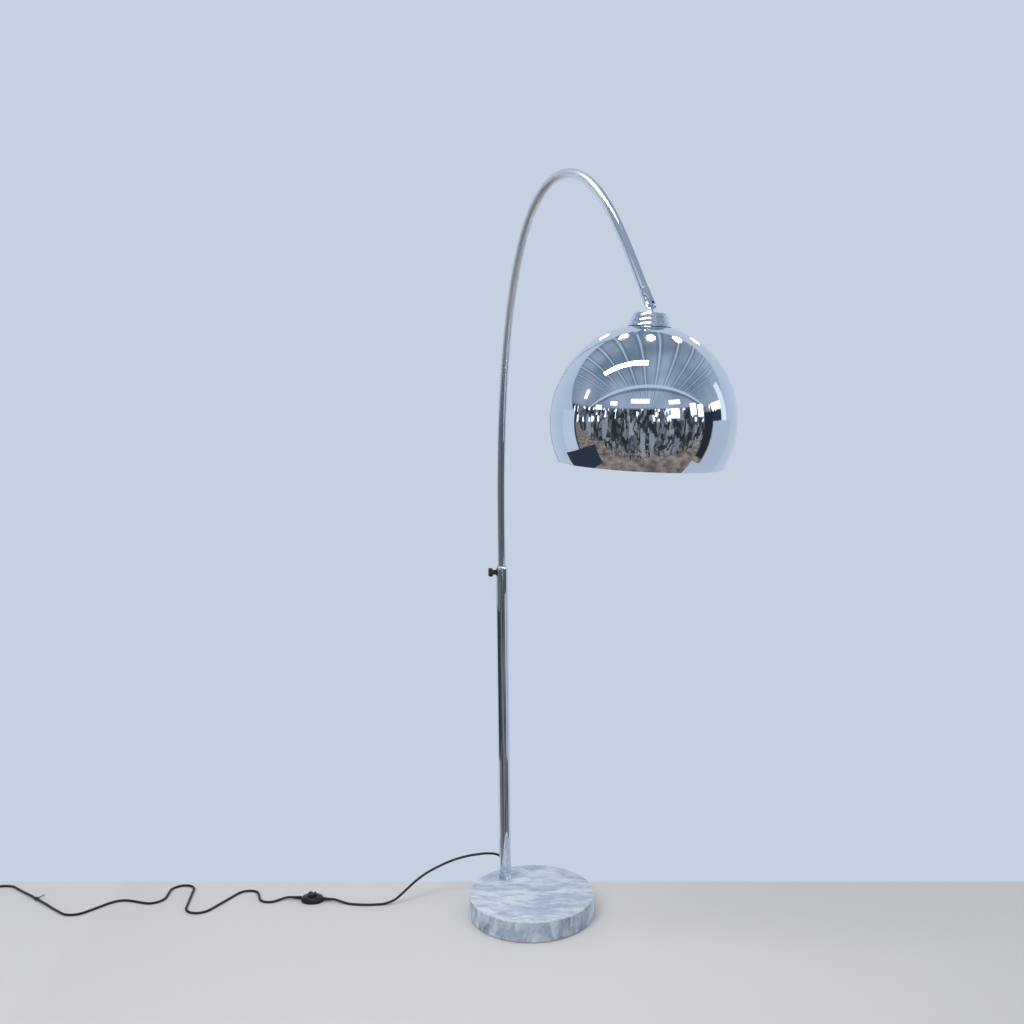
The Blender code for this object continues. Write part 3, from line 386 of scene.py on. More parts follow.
def skin(name, rings, material, matrix=None, closed=False, sharp=40):
    """A surface through rings of points; a ring of one point closes the end."""
    verts, faces, starts = [], [], []
    for ring in rings:
        starts.append(len(verts))
        verts += ring
    pairs = list(zip(range(len(rings)), range(1, len(rings))))
    if closed:
        pairs.append((len(rings) - 1, 0))
    for a, b in pairs:
        count = max(len(rings[a]), len(rings[b]))
        for i in range(count):
            j = (i + 1) % count
            corners = []
            for ring, k in ((a, i), (a, j), (b, j), (b, i)):
                index = starts[ring] + (k if len(rings[ring]) > 1 else 0)
                if index not in corners:
                    corners.append(index)
            faces.append(corners)
    return new_piece(name, verts, faces, material, matrix, sharp)


def rounded(profile, segments=5):
    """A profile of (r, z) or (r, z, radius) points, with its corners rounded by their radius."""
    points = []
    for i, corner in enumerate(profile):
        here = Vector(corner[:2])
        radius = corner[2] if len(corner) > 2 else 0.0
        if not radius or i in (0, len(profile) - 1):
            points.append(here)
            continue
        back = Vector(profile[i - 1][:2]) - here
        forward = Vector(profile[i + 1][:2]) - here
        half = back.angle(forward) / 2
        reach = min(radius / math.tan(half), back.length * 0.49, forward.length * 0.49)
        radius = reach * math.tan(half)
        back.normalize()
        forward.normalize()
        centre = here + (back + forward).normalized() * (radius / math.sin(half))
        first = here + back * reach - centre
        last = here + forward * reach - centre
        sweep = first.angle_signed(last)
        for k in range(segments + 1):
            turn = Matrix.Rotation(-sweep * k / segments, 2)
            points.append(centre + turn @ first)
    return [(p.x, p.y) for p in points]


def lathe(name, profile, material, steps=96, matrix=None, closed=False, sharp=40, segments=5,
          lobes=None):
    """A turned piece. lobes=(count, depth, low, high, least radius) waves its rim between heights."""
    rings = []
    for r, z in rounded(profile, segments):
        if r < 1e-7:
            rings.append([(0.0, 0.0, z)])
            continue
        ring = []
        for i in range(steps):
            angle = 2 * math.pi * i / steps
            reach = r
            if lobes and lobes[2] <= z <= lobes[3] and r > lobes[4]:
                reach = r - lobes[1] * (0.5 - 0.5 * math.cos(lobes[0] * angle))
            ring.append((reach * math.cos(angle), reach * math.sin(angle), z))
        rings.append(ring)
    return skin(name, rings, material, matrix, closed, sharp)


def dress(obj, body, *nodes, slot=None):
    """Ride on a body and stand for CAD nodes, which it hides. The slot argument is not used."""
    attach(obj, body)
    if nodes:
        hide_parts(*nodes)
    return obj


def cut_by(piece, drills):
    """Cut a piece by each drill, and remove the drills."""
    for drill in drills:
        cut = piece.modifiers.new("cut", "BOOLEAN")
        cut.operation = "DIFFERENCE"
        cut.solver = "EXACT"
        cut.object = drill
    graph = bpy.context.evaluated_depsgraph_get()
    mesh = bpy.data.meshes.new_from_object(piece.evaluated_get(graph))
    piece.modifiers.clear()
    piece.data = mesh
    for drill in drills:
        bpy.data.objects.remove(drill, do_unlink=True)
    return mesh


def along(origin, direction):
    """A frame at origin whose Z points in the direction."""
    turn = Vector(direction).to_track_quat("Z", "Y").to_matrix().to_4x4()
    return Matrix.Translation(origin) @ turn


def bezier(p0, p1, p2, p3, count):
    """Points on a cubic curve."""
    points = []
    for i in range(count):
        t = i / (count - 1)
        s = 1.0 - t
        points.append(p0 * s ** 3 + p1 * (3 * s * s * t) + p2 * (3 * s * t * t) + p3 * t ** 3)
    return points


def respace(points, spacing):
    """The same line with its points evenly spaced."""
    lengths = [0.0]
    for a, b in zip(points, points[1:]):
        lengths.append(lengths[-1] + (b - a).length)
    count = max(2, round(lengths[-1] / spacing) + 1)
    even, k = [], 0
    for i in range(count):
        target = lengths[-1] * i / (count - 1)
        while k < len(points) - 2 and lengths[k + 1] < target:
            k += 1
        share = (target - lengths[k]) / (lengths[k + 1] - lengths[k])
        even.append(points[k].lerp(points[k + 1], min(1.0, share)))
    return even


def smooth_path(route):
    """A fine line on a centripetal Catmull-Rom curve through the route's points."""
    knots = [Vector(point) for point in route]
    knots = [knots[0] * 2 - knots[1]] + knots + [knots[-1] * 2 - knots[-2]]
    fine = []
    for before, start, end, after in zip(knots, knots[1:], knots[2:], knots[3:]):
        a = math.sqrt((start - before).length)
        b = math.sqrt((end - start).length)
        c = math.sqrt((after - end).length)
        leaving = ((start - before) / a - (end - before) / (a + b) + (end - start) / b) * b
        arriving = ((end - start) / b - (after - start) / (b + c) + (after - end) / c) * b
        fine += bezier(start, start + leaving / 3, end - arriving / 3, end, 17)[:-1]
    fine.append(knots[-2])
    return fine


# ---------- cord, switch and plug
# Each route point is (forward, out, height).
LAMP_ROUTE = (
    (0.0961, -0.1025, 0.1060), (0.1179, -0.1110, 0.1030), (0.1413, -0.1120, 0.0998),
    (0.1644, -0.1095, 0.0965), (0.1865, -0.1041, 0.0926), (0.2078, -0.0971, 0.0876),
    (0.2284, -0.0896, 0.0808), (0.2484, -0.0822, 0.0730), (0.2674, -0.0748, 0.0638),
    (0.2846, -0.0671, 0.0532), (0.3011, -0.0588, 0.0408), (0.3186, -0.0506, 0.0262),
    (0.3389, -0.0434, 0.0110), (0.3614, -0.0375, 0.0039), (0.3847, -0.0340, 0.0030),
    (0.4082, -0.0328, 0.0030), (0.4300, -0.0342, 0.0030), (0.4520, -0.0385, 0.0033),
    (0.4722, -0.0460, 0.0050),
)
# Circles the cord runs round after the switch: forward, out, radius, way it turns.
PLUG_CIRCLES = (
    (0.6071, -0.0383, 0.027, 1), (0.6520, -0.0745, 0.028, -1), (0.7150, -0.0792, 0.029, 1),
    (0.8110, -0.0230, 0.033, -1), (0.8880, -0.1090, 0.029, 1), (0.9450, -0.0720, 0.032, -1),
    (1.0080, -0.0110, 0.045, 1), (1.1100, -0.0220, 0.041, -1), (1.3450, -0.0900, 0.045, 1),
)
PLUG_END = (1.4020, -0.1262)
PLUG_HEIGHTS = (
    (0.6045, 0.0070), (0.6140, 0.0058), (0.6260, 0.0040), (0.6380, 0.0031), (0.6560, 0.0030),
    (1.1650, 0.0030), (1.2000, 0.0047), (1.2550, 0.0047), (1.2900, 0.0030), (1.3600, 0.0031),
    (1.4020, 0.0043),
)
COIL_OUTER = 0.0335
COIL_STEP = 0.0060
COIL_LOW = 0.0043


def floor_point(forward, out, z=CORD_RADIUS):
    """A point from its distances along the cord's heading and out from it."""
    return HEADING * forward + SIDEWAYS * out + Vector((0, 0, z))


def belt(start, circles, end):
    """Points (forward, out) on a line from start, round each circle in turn, to end."""
    stops = [(*start, 0.0, 0), *circles, (*end, 0.0, 0)]
    headings = []
    for (x1, y1, r1, s1), (x2, y2, r2, s2) in zip(stops, stops[1:]):
        apart = math.hypot(x2 - x1, y2 - y1)
        across = r2 * s2 - r1 * s1
        headings.append(math.atan2(y2 - y1, x2 - x1) - math.asin(across / apart))
    points = [start]
    for (x, y, radius, side), arriving, leaving in zip(circles, headings, headings[1:]):
        turn = (leaving - arriving) * side % (2 * math.pi)
        for i in range(25):
            heading = arriving + side * turn * i / 24
            points.append((x + radius * side * math.sin(heading),
                           y - radius * side * math.cos(heading)))
    return points + [end]


def ease(value, start, end):
    """A smooth step from 0 at start to 1 at end."""
    share = min(1.0, max(0.0, (value - start) / (end - start)))
    return share * share * (3 - 2 * share)


def height_at(forward):
    """The cord's height after the switch."""
    for (x1, z1), (x2, z2) in zip(PLUG_HEIGHTS, PLUG_HEIGHTS[1:]):
        if forward <= x2:
            return z1 + (z2 - z1) * ease(forward, x1, x2)
    return PLUG_HEIGHTS[-1][1]


def coil_line():
    """Three turns, from the wall side round to the wall side again, two below and one above."""
    points = []
    for step in range(0, 360 * 3 + 1, 6):
        radius = COIL_OUTER - COIL_STEP * ease(step, 225, 345) + COIL_STEP * ease(step, 725, 845)
        height = COIL_LOW + 2 * CORD_RADIUS * ease(step, 485, 580)
        angle = math.radians(step - 90)
        points.append(floor_point(COIL_CENTRE[0] + radius * math.cos(angle),
                                  COIL_CENTRE[1] + radius * math.sin(angle), height))
    return points


SWITCH = (Matrix.Translation(floor_point(*SWITCH_CENTRE, 0.0))
          @ Matrix.Rotation(math.pi + CORD_HEADING + SWITCH_YAW, 4, "Z"))


def switch_tip(side):
    """The tip of the switch's relief: side is -1 towards the lamp, 1 towards the plug."""
    return SWITCH @ Vector((side * (SWITCH_HALF[0] + GAP + RELIEF_LENGTH + GAP), 0, PORT_Z))


exit_point = Vector((POLE_X - CORD_EXIT_OUT, 0.0, CORD_EXIT_Z))
cord_along = SWITCH.to_3x3() @ Vector((1, 0, 0))
lamp_side = [exit_point, exit_point + Vector((-0.010, 0, 0))]
lamp_side += [floor_point(*point) for point in LAMP_ROUTE]
lamp_side += [switch_tip(-1) - cord_along * 0.006, switch_tip(-1)]
cord_line = smooth_path(lamp_side)
far_tip = switch_tip(1)
leaving = far_tip + cord_along * 0.008
flat_start = (leaving.dot(HEADING), leaving.dot(SIDEWAYS))
flat = [Vector((*point, 0.0)) for point in belt(flat_start, PLUG_CIRCLES, PLUG_END)]
# inside the switch the cord dips under the button
for step in range(-16, 17):
    x = 0.0018 * step
    height = PORT_Z - 0.0012 * (1 - ease(abs(x), 0.0130, 0.0288))
    cord_line.append(SWITCH @ Vector((x, 0, height)))
cord_line.append(far_tip)
cord_line += [floor_point(p.x, p.y, height_at(p.x)) for p in respace(flat, 0.004)]
cord_line += coil_line()
relief_tip = floor_point(COIL_CENTRE[0] + 0.058, COIL_CENTRE[1] - 0.027, 0.0076)
coil_exit = cord_line[-1]
cord_line += bezier(coil_exit, coil_exit + HEADING * 0.010, relief_tip - HEADING * 0.012,
                    relief_tip - HEADING * GAP, 9)[1:]
cord_line = respace(cord_line, 0.0045)

cord_curve = bpy.data.curves.new("cord", "CURVE")
cord_curve.dimensions = "3D"
cord_curve.bevel_depth = CORD_RADIUS
cord_curve.bevel_resolution = 5
cord_curve.use_fill_caps = True
spline = cord_curve.splines.new("POLY")
spline.points.add(len(cord_line) - 1)
for target, point in zip(spline.points, cord_line):
    target.co = (*point, 1.0)
cord_curve.materials.append(CORD_BLACK)
cord = bpy.data.objects.new("cord", cord_curve)
bpy.context.scene.collection.objects.link(cord)
dress(cord, "stand", "cord_lamp_to_switch", "cord_switch_to_coil", "cord_coil",
      "cord_coil_to_plug", slot="cord_black")


def oval(half_length, half_width, z, power=2.0):
    """One ring of the switch housing; a power above 2 squares it slightly."""
    ring = []
    for i in range(RING_STEPS):
        angle = 2 * math.pi * i / RING_STEPS
        c, s = math.cos(angle), math.sin(angle)
        x = math.copysign(abs(c) ** (2 / power), c) * half_length
        y = math.copysign(abs(s) ** (2 / power), s) * half_width
        ring.append((x, y, z))
    return ring


def round_ring(radius, z, steps=RING_STEPS):
    return [(radius * math.cos(2 * math.pi * i / steps), radius * math.sin(2 * math.pi * i / steps),
             z) for i in range(steps)]


def switch_pieces():
    """The foot switch: base, domed cover, button and two strain reliefs."""
    profile = [(0.0012, 0.0002), (0.0002, 0.0002, 0.0010), (0.0001, 0.0039, 0.0006),
               (0.0012, 0.0040)]  # inset from the rim, height, corner radius
    rings = [oval(SWITCH_HALF[0] - inset, SWITCH_HALF[1] - inset, z)
             for inset, z in rounded(profile, 4)]
    rings.insert(0, [(0.0, 0.0, rings[0][0][2])])
    rings.append([(0.0, 0.0, rings[-1][0][2])])
    base = skin("switch_base_fine", rings, BLACK, SWITCH)
    dress(base, "stand", "switch_base", slot="black_plastic")

    # domed cover: from its seam up over the dome and down into the button's well
    rings = []
    for step in range(19):
        angle = math.radians(90 * step / 18)
        share = 1 - math.cos(angle)
        inset = 0.0174 * share
        z = 0.0044 + 0.0103 * math.sin(angle) ** 0.8
        half = (SWITCH_HALF[0] - 0.0001 - inset, SWITCH_HALF[1] - 0.0001 - inset * 0.57)
        rings.append(oval(half[0], half[1], z, power=2.0 + 0.25 * math.sin(2 * angle)))
    for radius, z in ((0.01145, 0.0148), (0.01125, 0.0144), (0.0112, 0.0138), (0.0112, 0.0112)):
        rings.append(round_ring(radius, z))
    for radius, z in ((0.0120, 0.0110), (0.0127, 0.0128)):
        rings.append(round_ring(radius, z))
    rings.append(oval(0.0250, 0.0185, 0.0085))
    rings.append(oval(0.0268, 0.0200, 0.0044))
    cover = skin("switch_cover_fine", rings, BLACK, SWITCH, closed=True, sharp=45)
    dress(cover, "stand", "switch_cover", slot="black_plastic")

    # saddle button: two raised lobes along the cord and a dip between them
    rings = [[(0.0, 0.0, 0.0122)], round_ring(0.0104, 0.0122), round_ring(0.0107, 0.0126)]
    for radius in (0.0107, 0.0105, 0.0100, 0.0092, 0.0080, 0.0064, 0.0046, 0.0026):
        ring = []
        for i in range(RING_STEPS):
            angle = 2 * math.pi * i / RING_STEPS
            x, y = radius * math.cos(angle), radius * math.sin(angle)
            lobe = 0.5 - 0.5 * math.cos(math.pi * min(1.0, abs(x) / 0.0062))
            crown = 0.0193 + 0.0034 * lobe - 0.0008 * (y / 0.0107) ** 2
            crown -= 0.0012 * max(0.0, abs(x) - 0.0062) / 0.0045
            edge = max(0.0, (radius - 0.0092) / 0.0015)
            ring.append((x, y, crown - 0.0010 * edge ** 2))
        rings.append(ring)
    rings.append([(0.0, 0.0, 0.0193)])
    button = skin("switch_button_fine", rings, BLACK, SWITCH, sharp=50)
    dress(button, "switch_button", "switch_button", slot="black_plastic")

    reliefs = []
    for node, side in (("switch_relief_lamp_side", -1), ("switch_relief_plug_side", 1)):
        start = SWITCH @ Vector((side * (SWITCH_HALF[0] + GAP), 0, PORT_Z))
        reliefs.append(relief(node, start, SWITCH.to_3x3() @ Vector((side, 0, 0))))
    return [base, cover, button, *reliefs]


def relief(node, start, outward):
    """A tapered strain relief with grip rings, open at its tip for the cord."""
    profile = [(0.0031, 0.0), (0.0049, 0.0, 0.0004), (0.0047, -0.0024, 0.0004)]
    for ring in range(4):
        z = -0.0042 - 0.0042 * ring
        radius = 0.0045 - 0.00025 * ring
        profile += [(radius - 0.0007, z + 0.0014, 0.0003), (radius, z + 0.0004, 0.0003),
                    (radius - 0.0001, z - 0.0012, 0.0003), (radius - 0.0008, z - 0.0020, 0.0003)]
    profile += [(0.0036, -RELIEF_LENGTH, 0.0003), (0.0031, -RELIEF_LENGTH)]
    piece = lathe(node + "_fine", profile, BLACK, 40, along(start, -Vector(outward)), closed=True,
                  segments=3)
    return dress(piece, "stand", node, slot="black_plastic")


def plug_pieces():
    """The plug's body and relief; its blades are the CAD's own."""
    turn = Matrix.Rotation(math.pi + CORD_HEADING, 4, "Z")
    place = Matrix.Translation(relief_tip) @ turn
    outward = -(place.to_3x3() @ Vector((1, 0, 0)))
    tail = relief("plug_relief", place @ Vector((RELIEF_LENGTH, 0, 0)), outward)
    start = RELIEF_LENGTH + GAP
    rings = []
    stations = ((0.0000, 0.40, 0.52), (0.0006, 0.50, 0.62), (0.0030, 0.62, 0.76),
                (0.0070, 0.78, 0.90), (0.0110, 0.84, 0.86), (0.0150, 0.84, 0.84),
                (0.0185, 0.92, 0.92), (0.0205, 0.985, 0.985), (0.0215, 0.995, 0.995),
                (0.0232, 0.995, 0.995), (0.0240, 0.955, 0.93))
    for x, wide, high in stations:
        ring = []
        for i in range(48):
            angle = 2 * math.pi * i / 48
            c, s = math.cos(angle), math.sin(angle)
            y = math.copysign(abs(c) ** 0.62, c) * 0.0120 * wide
            z = math.copysign(abs(s) ** 0.62, s) * 0.0075 * high
            ring.append((start + x, y, z))
        rings.append(ring)
    rings.insert(0, [(start, 0.0, 0.0)])
    rings.append([(start + 0.0240, 0.0, 0.0)])
    body = skin("plug_body_fine", rings, BLACK, place, sharp=50)
    dress(body, "stand", "plug_body", slot="black_plastic")
    return [tail, body, NODES["plug_blade_left"], NODES["plug_blade_right"]]


on_the_cord = switch_pieces() + plug_pieces()
on_the_cord += [NODES["cable_tie"], NODES["coil_tie"], NODES["switch_mechanism"]]


# ---------- base and pole
def bore_out(piece, radius):
    """Cut the clamp screw's hole through one wall of a piece."""
    level = Vector((POLE_X, 0, SCREW_Z))
    drill = lathe("drill", [(0, 0), (radius, 0), (radius, 0.020), (0, 0.020)], CHROME, 40,
                  along(level + SCREW_OUT * 0.004, SCREW_OUT))
    cut_by(piece, [drill])


def base_and_pole():
    """Marble base, lower pole, foot collar and top bush."""
    base = lathe("marble_base_fine", [(0.0, FELT_TOP), (BASE_RADIUS, FELT_TOP, 0.0012),
                                      (BASE_RADIUS, BASE_TOP, 0.0030), (0.0, BASE_TOP)],
                 MARBLE, 160, segments=8)
    dress(base, "stand", "marble_base", slot="marble")
    centre = Matrix.Translation((POLE_X, 0, 0))
    inner = POLE_RADIUS - POLE_WALL
    pole = lathe("lower_pole_fine", [(inner, FOOT), (POLE_RADIUS, FOOT, 0.0003),
                                     (POLE_RADIUS, POLE_TOP, 0.0003), (inner, POLE_TOP)],
                 CHROME_TUBE, 96, centre, closed=True)
    bore_out(pole, 0.0032)
    dress(pole, "stand", "lower_pole", slot="chrome")
    bore = POLE_RADIUS + GAP
    collar = lathe("foot_collar_fine", [(bore, FOOT), (0.0168, FOOT, 0.0003),
                                        (0.0168, FOOT + 0.0012, 0.0006),
                                        (0.0154, FOOT + 0.0095, 0.0100),
                                        (bore + 0.0002, FOOT + 0.0200)], CHROME_TUBE, 96,
                   centre, closed=True)
    dress(collar, "stand", "foot_collar", slot="chrome")
    bore = TUBE_RADIUS + GAP
    seat = POLE_TOP + GAP
    bush_foot = POLE_TOP - BUSH_DEPTH
    bush = lathe("pole_top_bush_fine", [(bore, bush_foot), (BUSH_SPIGOT, bush_foot),
                                        (BUSH_SPIGOT, seat), (POLE_RADIUS, seat, 0.0003),
                                        (POLE_RADIUS, seat + 0.0010, 0.0010),
                                        (0.0132, seat + 0.0046, 0.0030), (0.0112, BUSH_TOP),
                                        (bore, BUSH_TOP)],
                 CHROME_SATIN, 96, centre, closed=True)
    bore_out(bush, 0.0028)
    dress(bush, "stand", "pole_top_bush", slot="chrome")


def thumb_screw():
    """A lobed black knob on the clamp screw."""
    level = Vector((POLE_X, 0, SCREW_Z))
    profile = [(0.0, -0.0049), (0.0031, -0.0049), (0.0031, 0.0002), (0.0055, 0.0002, 0.0003),
               (0.0057, -0.0018, 0.0005), (0.0098, -0.0026, 0.0010), (0.0106, -0.0040, 0.0012),
               (0.0106, -0.0106, 0.0012), (0.0084, -0.0119, 0.0012), (0.0, -0.0124)]
    knob = lathe("thumb_screw_knob_fine", profile, KNOB_BLACK, 96,
                 along(level + SCREW_OUT * KNOB_SEAT, -SCREW_OUT),
                 lobes=(6, 0.0022, -0.0120, -0.0024, 0.0068), sharp=60)
    dress(knob, "thumb_screw", "thumb_screw_knob", slot="black_plastic")


# ---------- arc
def arc_line():
    """The arc's centre line, from its foot inside the pole to its end at the knuckle."""
    start = Vector((POLE_X, 0.0, ARC_START))
    end = HEAD_PIVOT + UP_THE_ARC * TUBE_END
    first = bezier(start, start + UP * ARC_RISE, CREST - Vector((CREST_BACK, 0, 0)), CREST, 90)
    second = bezier(CREST, CREST + Vector((CREST_FORWARD, 0, 0)), end + UP_THE_ARC * ARC_FALL,
                    end, 90)
    return [Vector((POLE_X, 0, TUBE_BOTTOM)), Vector((POLE_X, 0, 0.72))] + first + second[1:]


def arc_pieces():
    """The arc tube and the sleeve on its end."""
    line = arc_line()
    rings = []
    for radius, order in ((TUBE_RADIUS, 1), (TUBE_RADIUS - TUBE_WALL, -1)):
        spots = list(range(len(line)))[::order]
        for k in spots:
            ahead = (line[min(k + 1, len(line) - 1)] - line[max(k - 1, 0)]).normalized()
            side = Vector((0, 1, 0)).cross(ahead).normalized()
            ring = []
            for i in range(48):
                angle = 2 * math.pi * i / 48
                ring.append(line[k] + side * (radius * math.cos(angle))
                            + Vector((0, radius * math.sin(angle), 0)))
            rings.append(ring)
    tube = skin("arc_tube_fine", rings, CHROME_ARC, closed=True)
    dress(tube, "arc", "arc_tube", slot="chrome")
    bore = TUBE_RADIUS + 0.0001
    sleeve = lathe("tube_end_sleeve_fine", [(bore, TUBE_END), (0.0105, TUBE_END, 0.0004),
                                            (0.0105, 0.0360, 0.0006), (bore, 0.0360)],
                   CHROME, 64, ARC_END, closed=True)
    dress(sleeve, "arc", "tube_end_sleeve", slot="chrome")


# ---------- head
def canopy():
    """Three tiers, each a short cone that widens downwards."""
    bore = STEM_RADIUS + GAP
    wall = CANOPY_WALL
    outer, inner = [(bore, CANOPY_TOP)], [(bore, CANOPY_TOP - wall)]
    for upper_radius, upper, lower_radius, lower in CANOPY_TIERS:
        outer.append((upper_radius - 0.0006, upper))
        for share in (0.03, 0.15, 0.30, 0.45, 0.60, 0.75, 0.90, 1.0):
            swell = 0.0018 * share * (1 - share)
            outer.append((upper_radius + (lower_radius - upper_radius) * share + swell,
                          upper + (lower - upper) * share))
        inner += [(upper_radius - wall, upper - wall), (lower_radius - wall, lower - wall)]
    inner[-1] = (inner[-1][0], CANOPY_TIERS[-1][3])
    piece = lathe("canopy_fine", outer + inner[::-1], CHROME_SATIN, 128, HEAD, closed=True,
                  sharp=35)
    dress(piece, "head", "canopy", slot="chrome")


def shade():
    """The dome: chrome outside, white enamel inside, with a ring of vent holes."""
    first = math.asin((STEM_RADIUS + GAP) / SHADE_RADIUS)
    last = math.pi / 2 + math.asin(RIM_DROP / SHADE_RADIUS)
    count = 72
    angles = [first + (last - first) * i / (count - 1) for i in range(count)]
    outer = [(SHADE_RADIUS * math.sin(a), SHADE_CENTRE + SHADE_RADIUS * math.cos(a)) for a in angles]
    thin = SHADE_RADIUS - SHADE_WALL
    inner = [(thin * math.sin(a), SHADE_CENTRE + thin * math.cos(a)) for a in angles[::-1]]
    steps = 144
    rings = [round_ring(r, z, steps) for r, z in outer + inner]
    piece = skin("shade_shell_fine", rings, CHROME, closed=True)
    mesh = piece.data
    mesh.materials.append(ENAMEL)
    middle = Vector((0, 0, SHADE_CENTRE))
    limit = SHADE_RADIUS - SHADE_WALL * 0.5
    for face in mesh.polygons:
        spread = [(mesh.vertices[v].co - middle).length for v in face.vertices]
        face.material_index = 1 if max(spread) < limit else 0

    drills = []
    tilt = Matrix.Rotation(VENT_ANGLE, 4, "Y") @ Matrix.Translation((0, 0, SHADE_RADIUS))
    for k in range(VENT_COUNT):
        turn = Matrix.Rotation(2 * math.pi * (k + 0.5) / VENT_COUNT, 4, "Z")
        slot = Matrix.Translation(middle) @ turn @ tilt @ Matrix.Diagonal((*VENT_HALF, 1, 1))
        drills.append(lathe(f"drill_{k}", [(0, -0.02), (1, -0.02), (1, 0.02), (0, 0.02)],
                            CHROME, 48, slot))
    cut_mesh = cut_by(piece, drills)

    # exact sphere normals, so that the holes leave no marks in the reflections
    normals = []
    low = SHADE_RADIUS - SHADE_WALL
    for face in cut_mesh.polygons:
        spread = [(cut_mesh.vertices[v].co - middle).length for v in face.vertices]
        side = 0
        if min(spread) > SHADE_RADIUS - 0.0002:
            side = 1
        if max(spread) < low + 0.0002:
            side = -1
        for v in face.vertices:
            ray = (cut_mesh.vertices[v].co - middle).normalized()
            normals.append(tuple(ray * side) if side else tuple(face.normal))
    cut_mesh.normals_split_custom_set(normals)
    cut_mesh.transform(HEAD)
    dress(piece, "head", "shade_shell", slot="chrome")

    reach = SHADE_RADIUS * math.cos(math.asin(RIM_DROP / SHADE_RADIUS))
    rim_z = SHADE_CENTRE - RIM_DROP
    bead = lathe("shade_rim_bead", [(reach - 0.0016, rim_z + 0.0004),
                                    (reach - 0.0002, rim_z + 0.0002, 0.0006),
                                    (reach - 0.0002, rim_z + 0.0020, 0.0006),
                                    (reach - 0.0016, rim_z + 0.0022)], CHROME, 144, HEAD,
                 closed=True)
    dress(bead, "head", slot="chrome")


def bulb():
    """The bulb's glass, lit."""
    neck = BULB_TIP - 0.0253
    profile = [(0.0122, neck), (0.0130, neck), (0.0138, neck - 0.008, 0.010),
               (0.0185, neck - 0.024, 0.020), (0.0258, neck - 0.038, 0.020)]
    outline = rounded(profile, 8)
    centre = neck - 0.053
    for i in range(24):
        angle = math.radians(14 - 104 * i / 23)
        outline.append((0.030 * math.cos(angle), centre + 0.030 * math.sin(angle)))
    outline[-1] = (0.0, outline[-1][1])
    glass = lathe("bulb_glass_fine", outline, OPAL, 64, HEAD)
    dress(glass, "bulb", "bulb_glass", slot="bulb_glass")


base_and_pole()
thumb_screw()
arc_pieces()
canopy()
shade()
bulb()

# ---------- floor, light and world
floor_mesh = bpy.data.meshes.new("floor")
wall_line = 0.164
corners = [(-2.6, -wall_line), (3.4, -wall_line), (3.4, 4.0), (-2.6, 4.0)]
floor_mesh.from_pydata([tuple(floor_point(a, o, 0.0)) for a, o in corners], [], [(0, 1, 2, 3)])
floor = bpy.data.objects.new("floor", floor_mesh)
bpy.context.scene.collection.objects.link(floor)
floor_shader = Shader("floor_pale", Roughness=0.6, Base_Color=(0.78, 0.76, 0.74, 1))
floor_mesh.materials.append(floor_shader.material)
floor.visible_glossy = False


def soft_light(name, place, target, size, power, colour=(1, 1, 1)):
    """A rectangular light that faces its target."""
    data = bpy.data.lights.new(name, "AREA")
    data.shape = "RECTANGLE"
    data.size, data.size_y = size
    data.energy = power
    data.color = colour
    obj = bpy.data.objects.new(name, data)
    bpy.context.scene.collection.objects.link(obj)
    obj.location = place
    obj.rotation_euler = (Vector(target) - Vector(place)).to_track_quat("-Z", "Y").to_euler()
    return obj


RIGHT = -HEADING
TOWARDS = SIDEWAYS


def card(name, start, end, top, colour):
    """An upright card on the floor between two points (right, towards), seen by the chrome only."""
    corners = [RIGHT * x + TOWARDS * y + UP * z
               for z, ends in ((0.0, (start, end)), (top, (end, start))) for x, y in ends]
    mesh = bpy.data.meshes.new(name)
    mesh.from_pydata([tuple(corner) for corner in corners], [], [(0, 1, 2, 3)])
    shader = Shader(name, Roughness=1.0, Base_Color=(0, 0, 0, 1), Emission_Color=(*colour, 1),
                    Emission_Strength=1.0)
    mesh.materials.append(shader.material)
    obj = bpy.data.objects.new(name, mesh)
    bpy.context.scene.collection.objects.link(obj)
    for ray in ("camera", "diffuse", "transmission", "volume_scatter", "shadow"):
        setattr(obj, "visible_" + ray, False)


card("dark_card", (-1.07, -0.42), (-1.00, 0.86), 0.64, (0.028, 0.036, 0.058))
card("pale_card", (0.93, 0.08), (0.78, 0.56), 0.72, (0.50, 0.57, 0.68))
strip_centre = Vector((0.30, 0, 1.33)) + RIGHT * (-0.92) + TOWARDS * 0.78 + UP * 2.15
strip = soft_light("strip_light", strip_centre, strip_centre - UP, (2.1, 0.27), 24.0)
strip.rotation_euler = (Matrix.Rotation(math.radians(-6.5), 3, "Z")
                        @ Matrix((RIGHT, TOWARDS, UP)).transposed()).to_euler()
key = soft_light("key", RIGHT * -1.6 + TOWARDS * 2.4 + UP * 3.0, (0, 0, 0.5), (1.6, 1.6), 25.0,
                 (0.93, 0.96, 1.0))
key.visible_glossy = False
bpy.context.scene.view_settings.view_transform = "Standard"


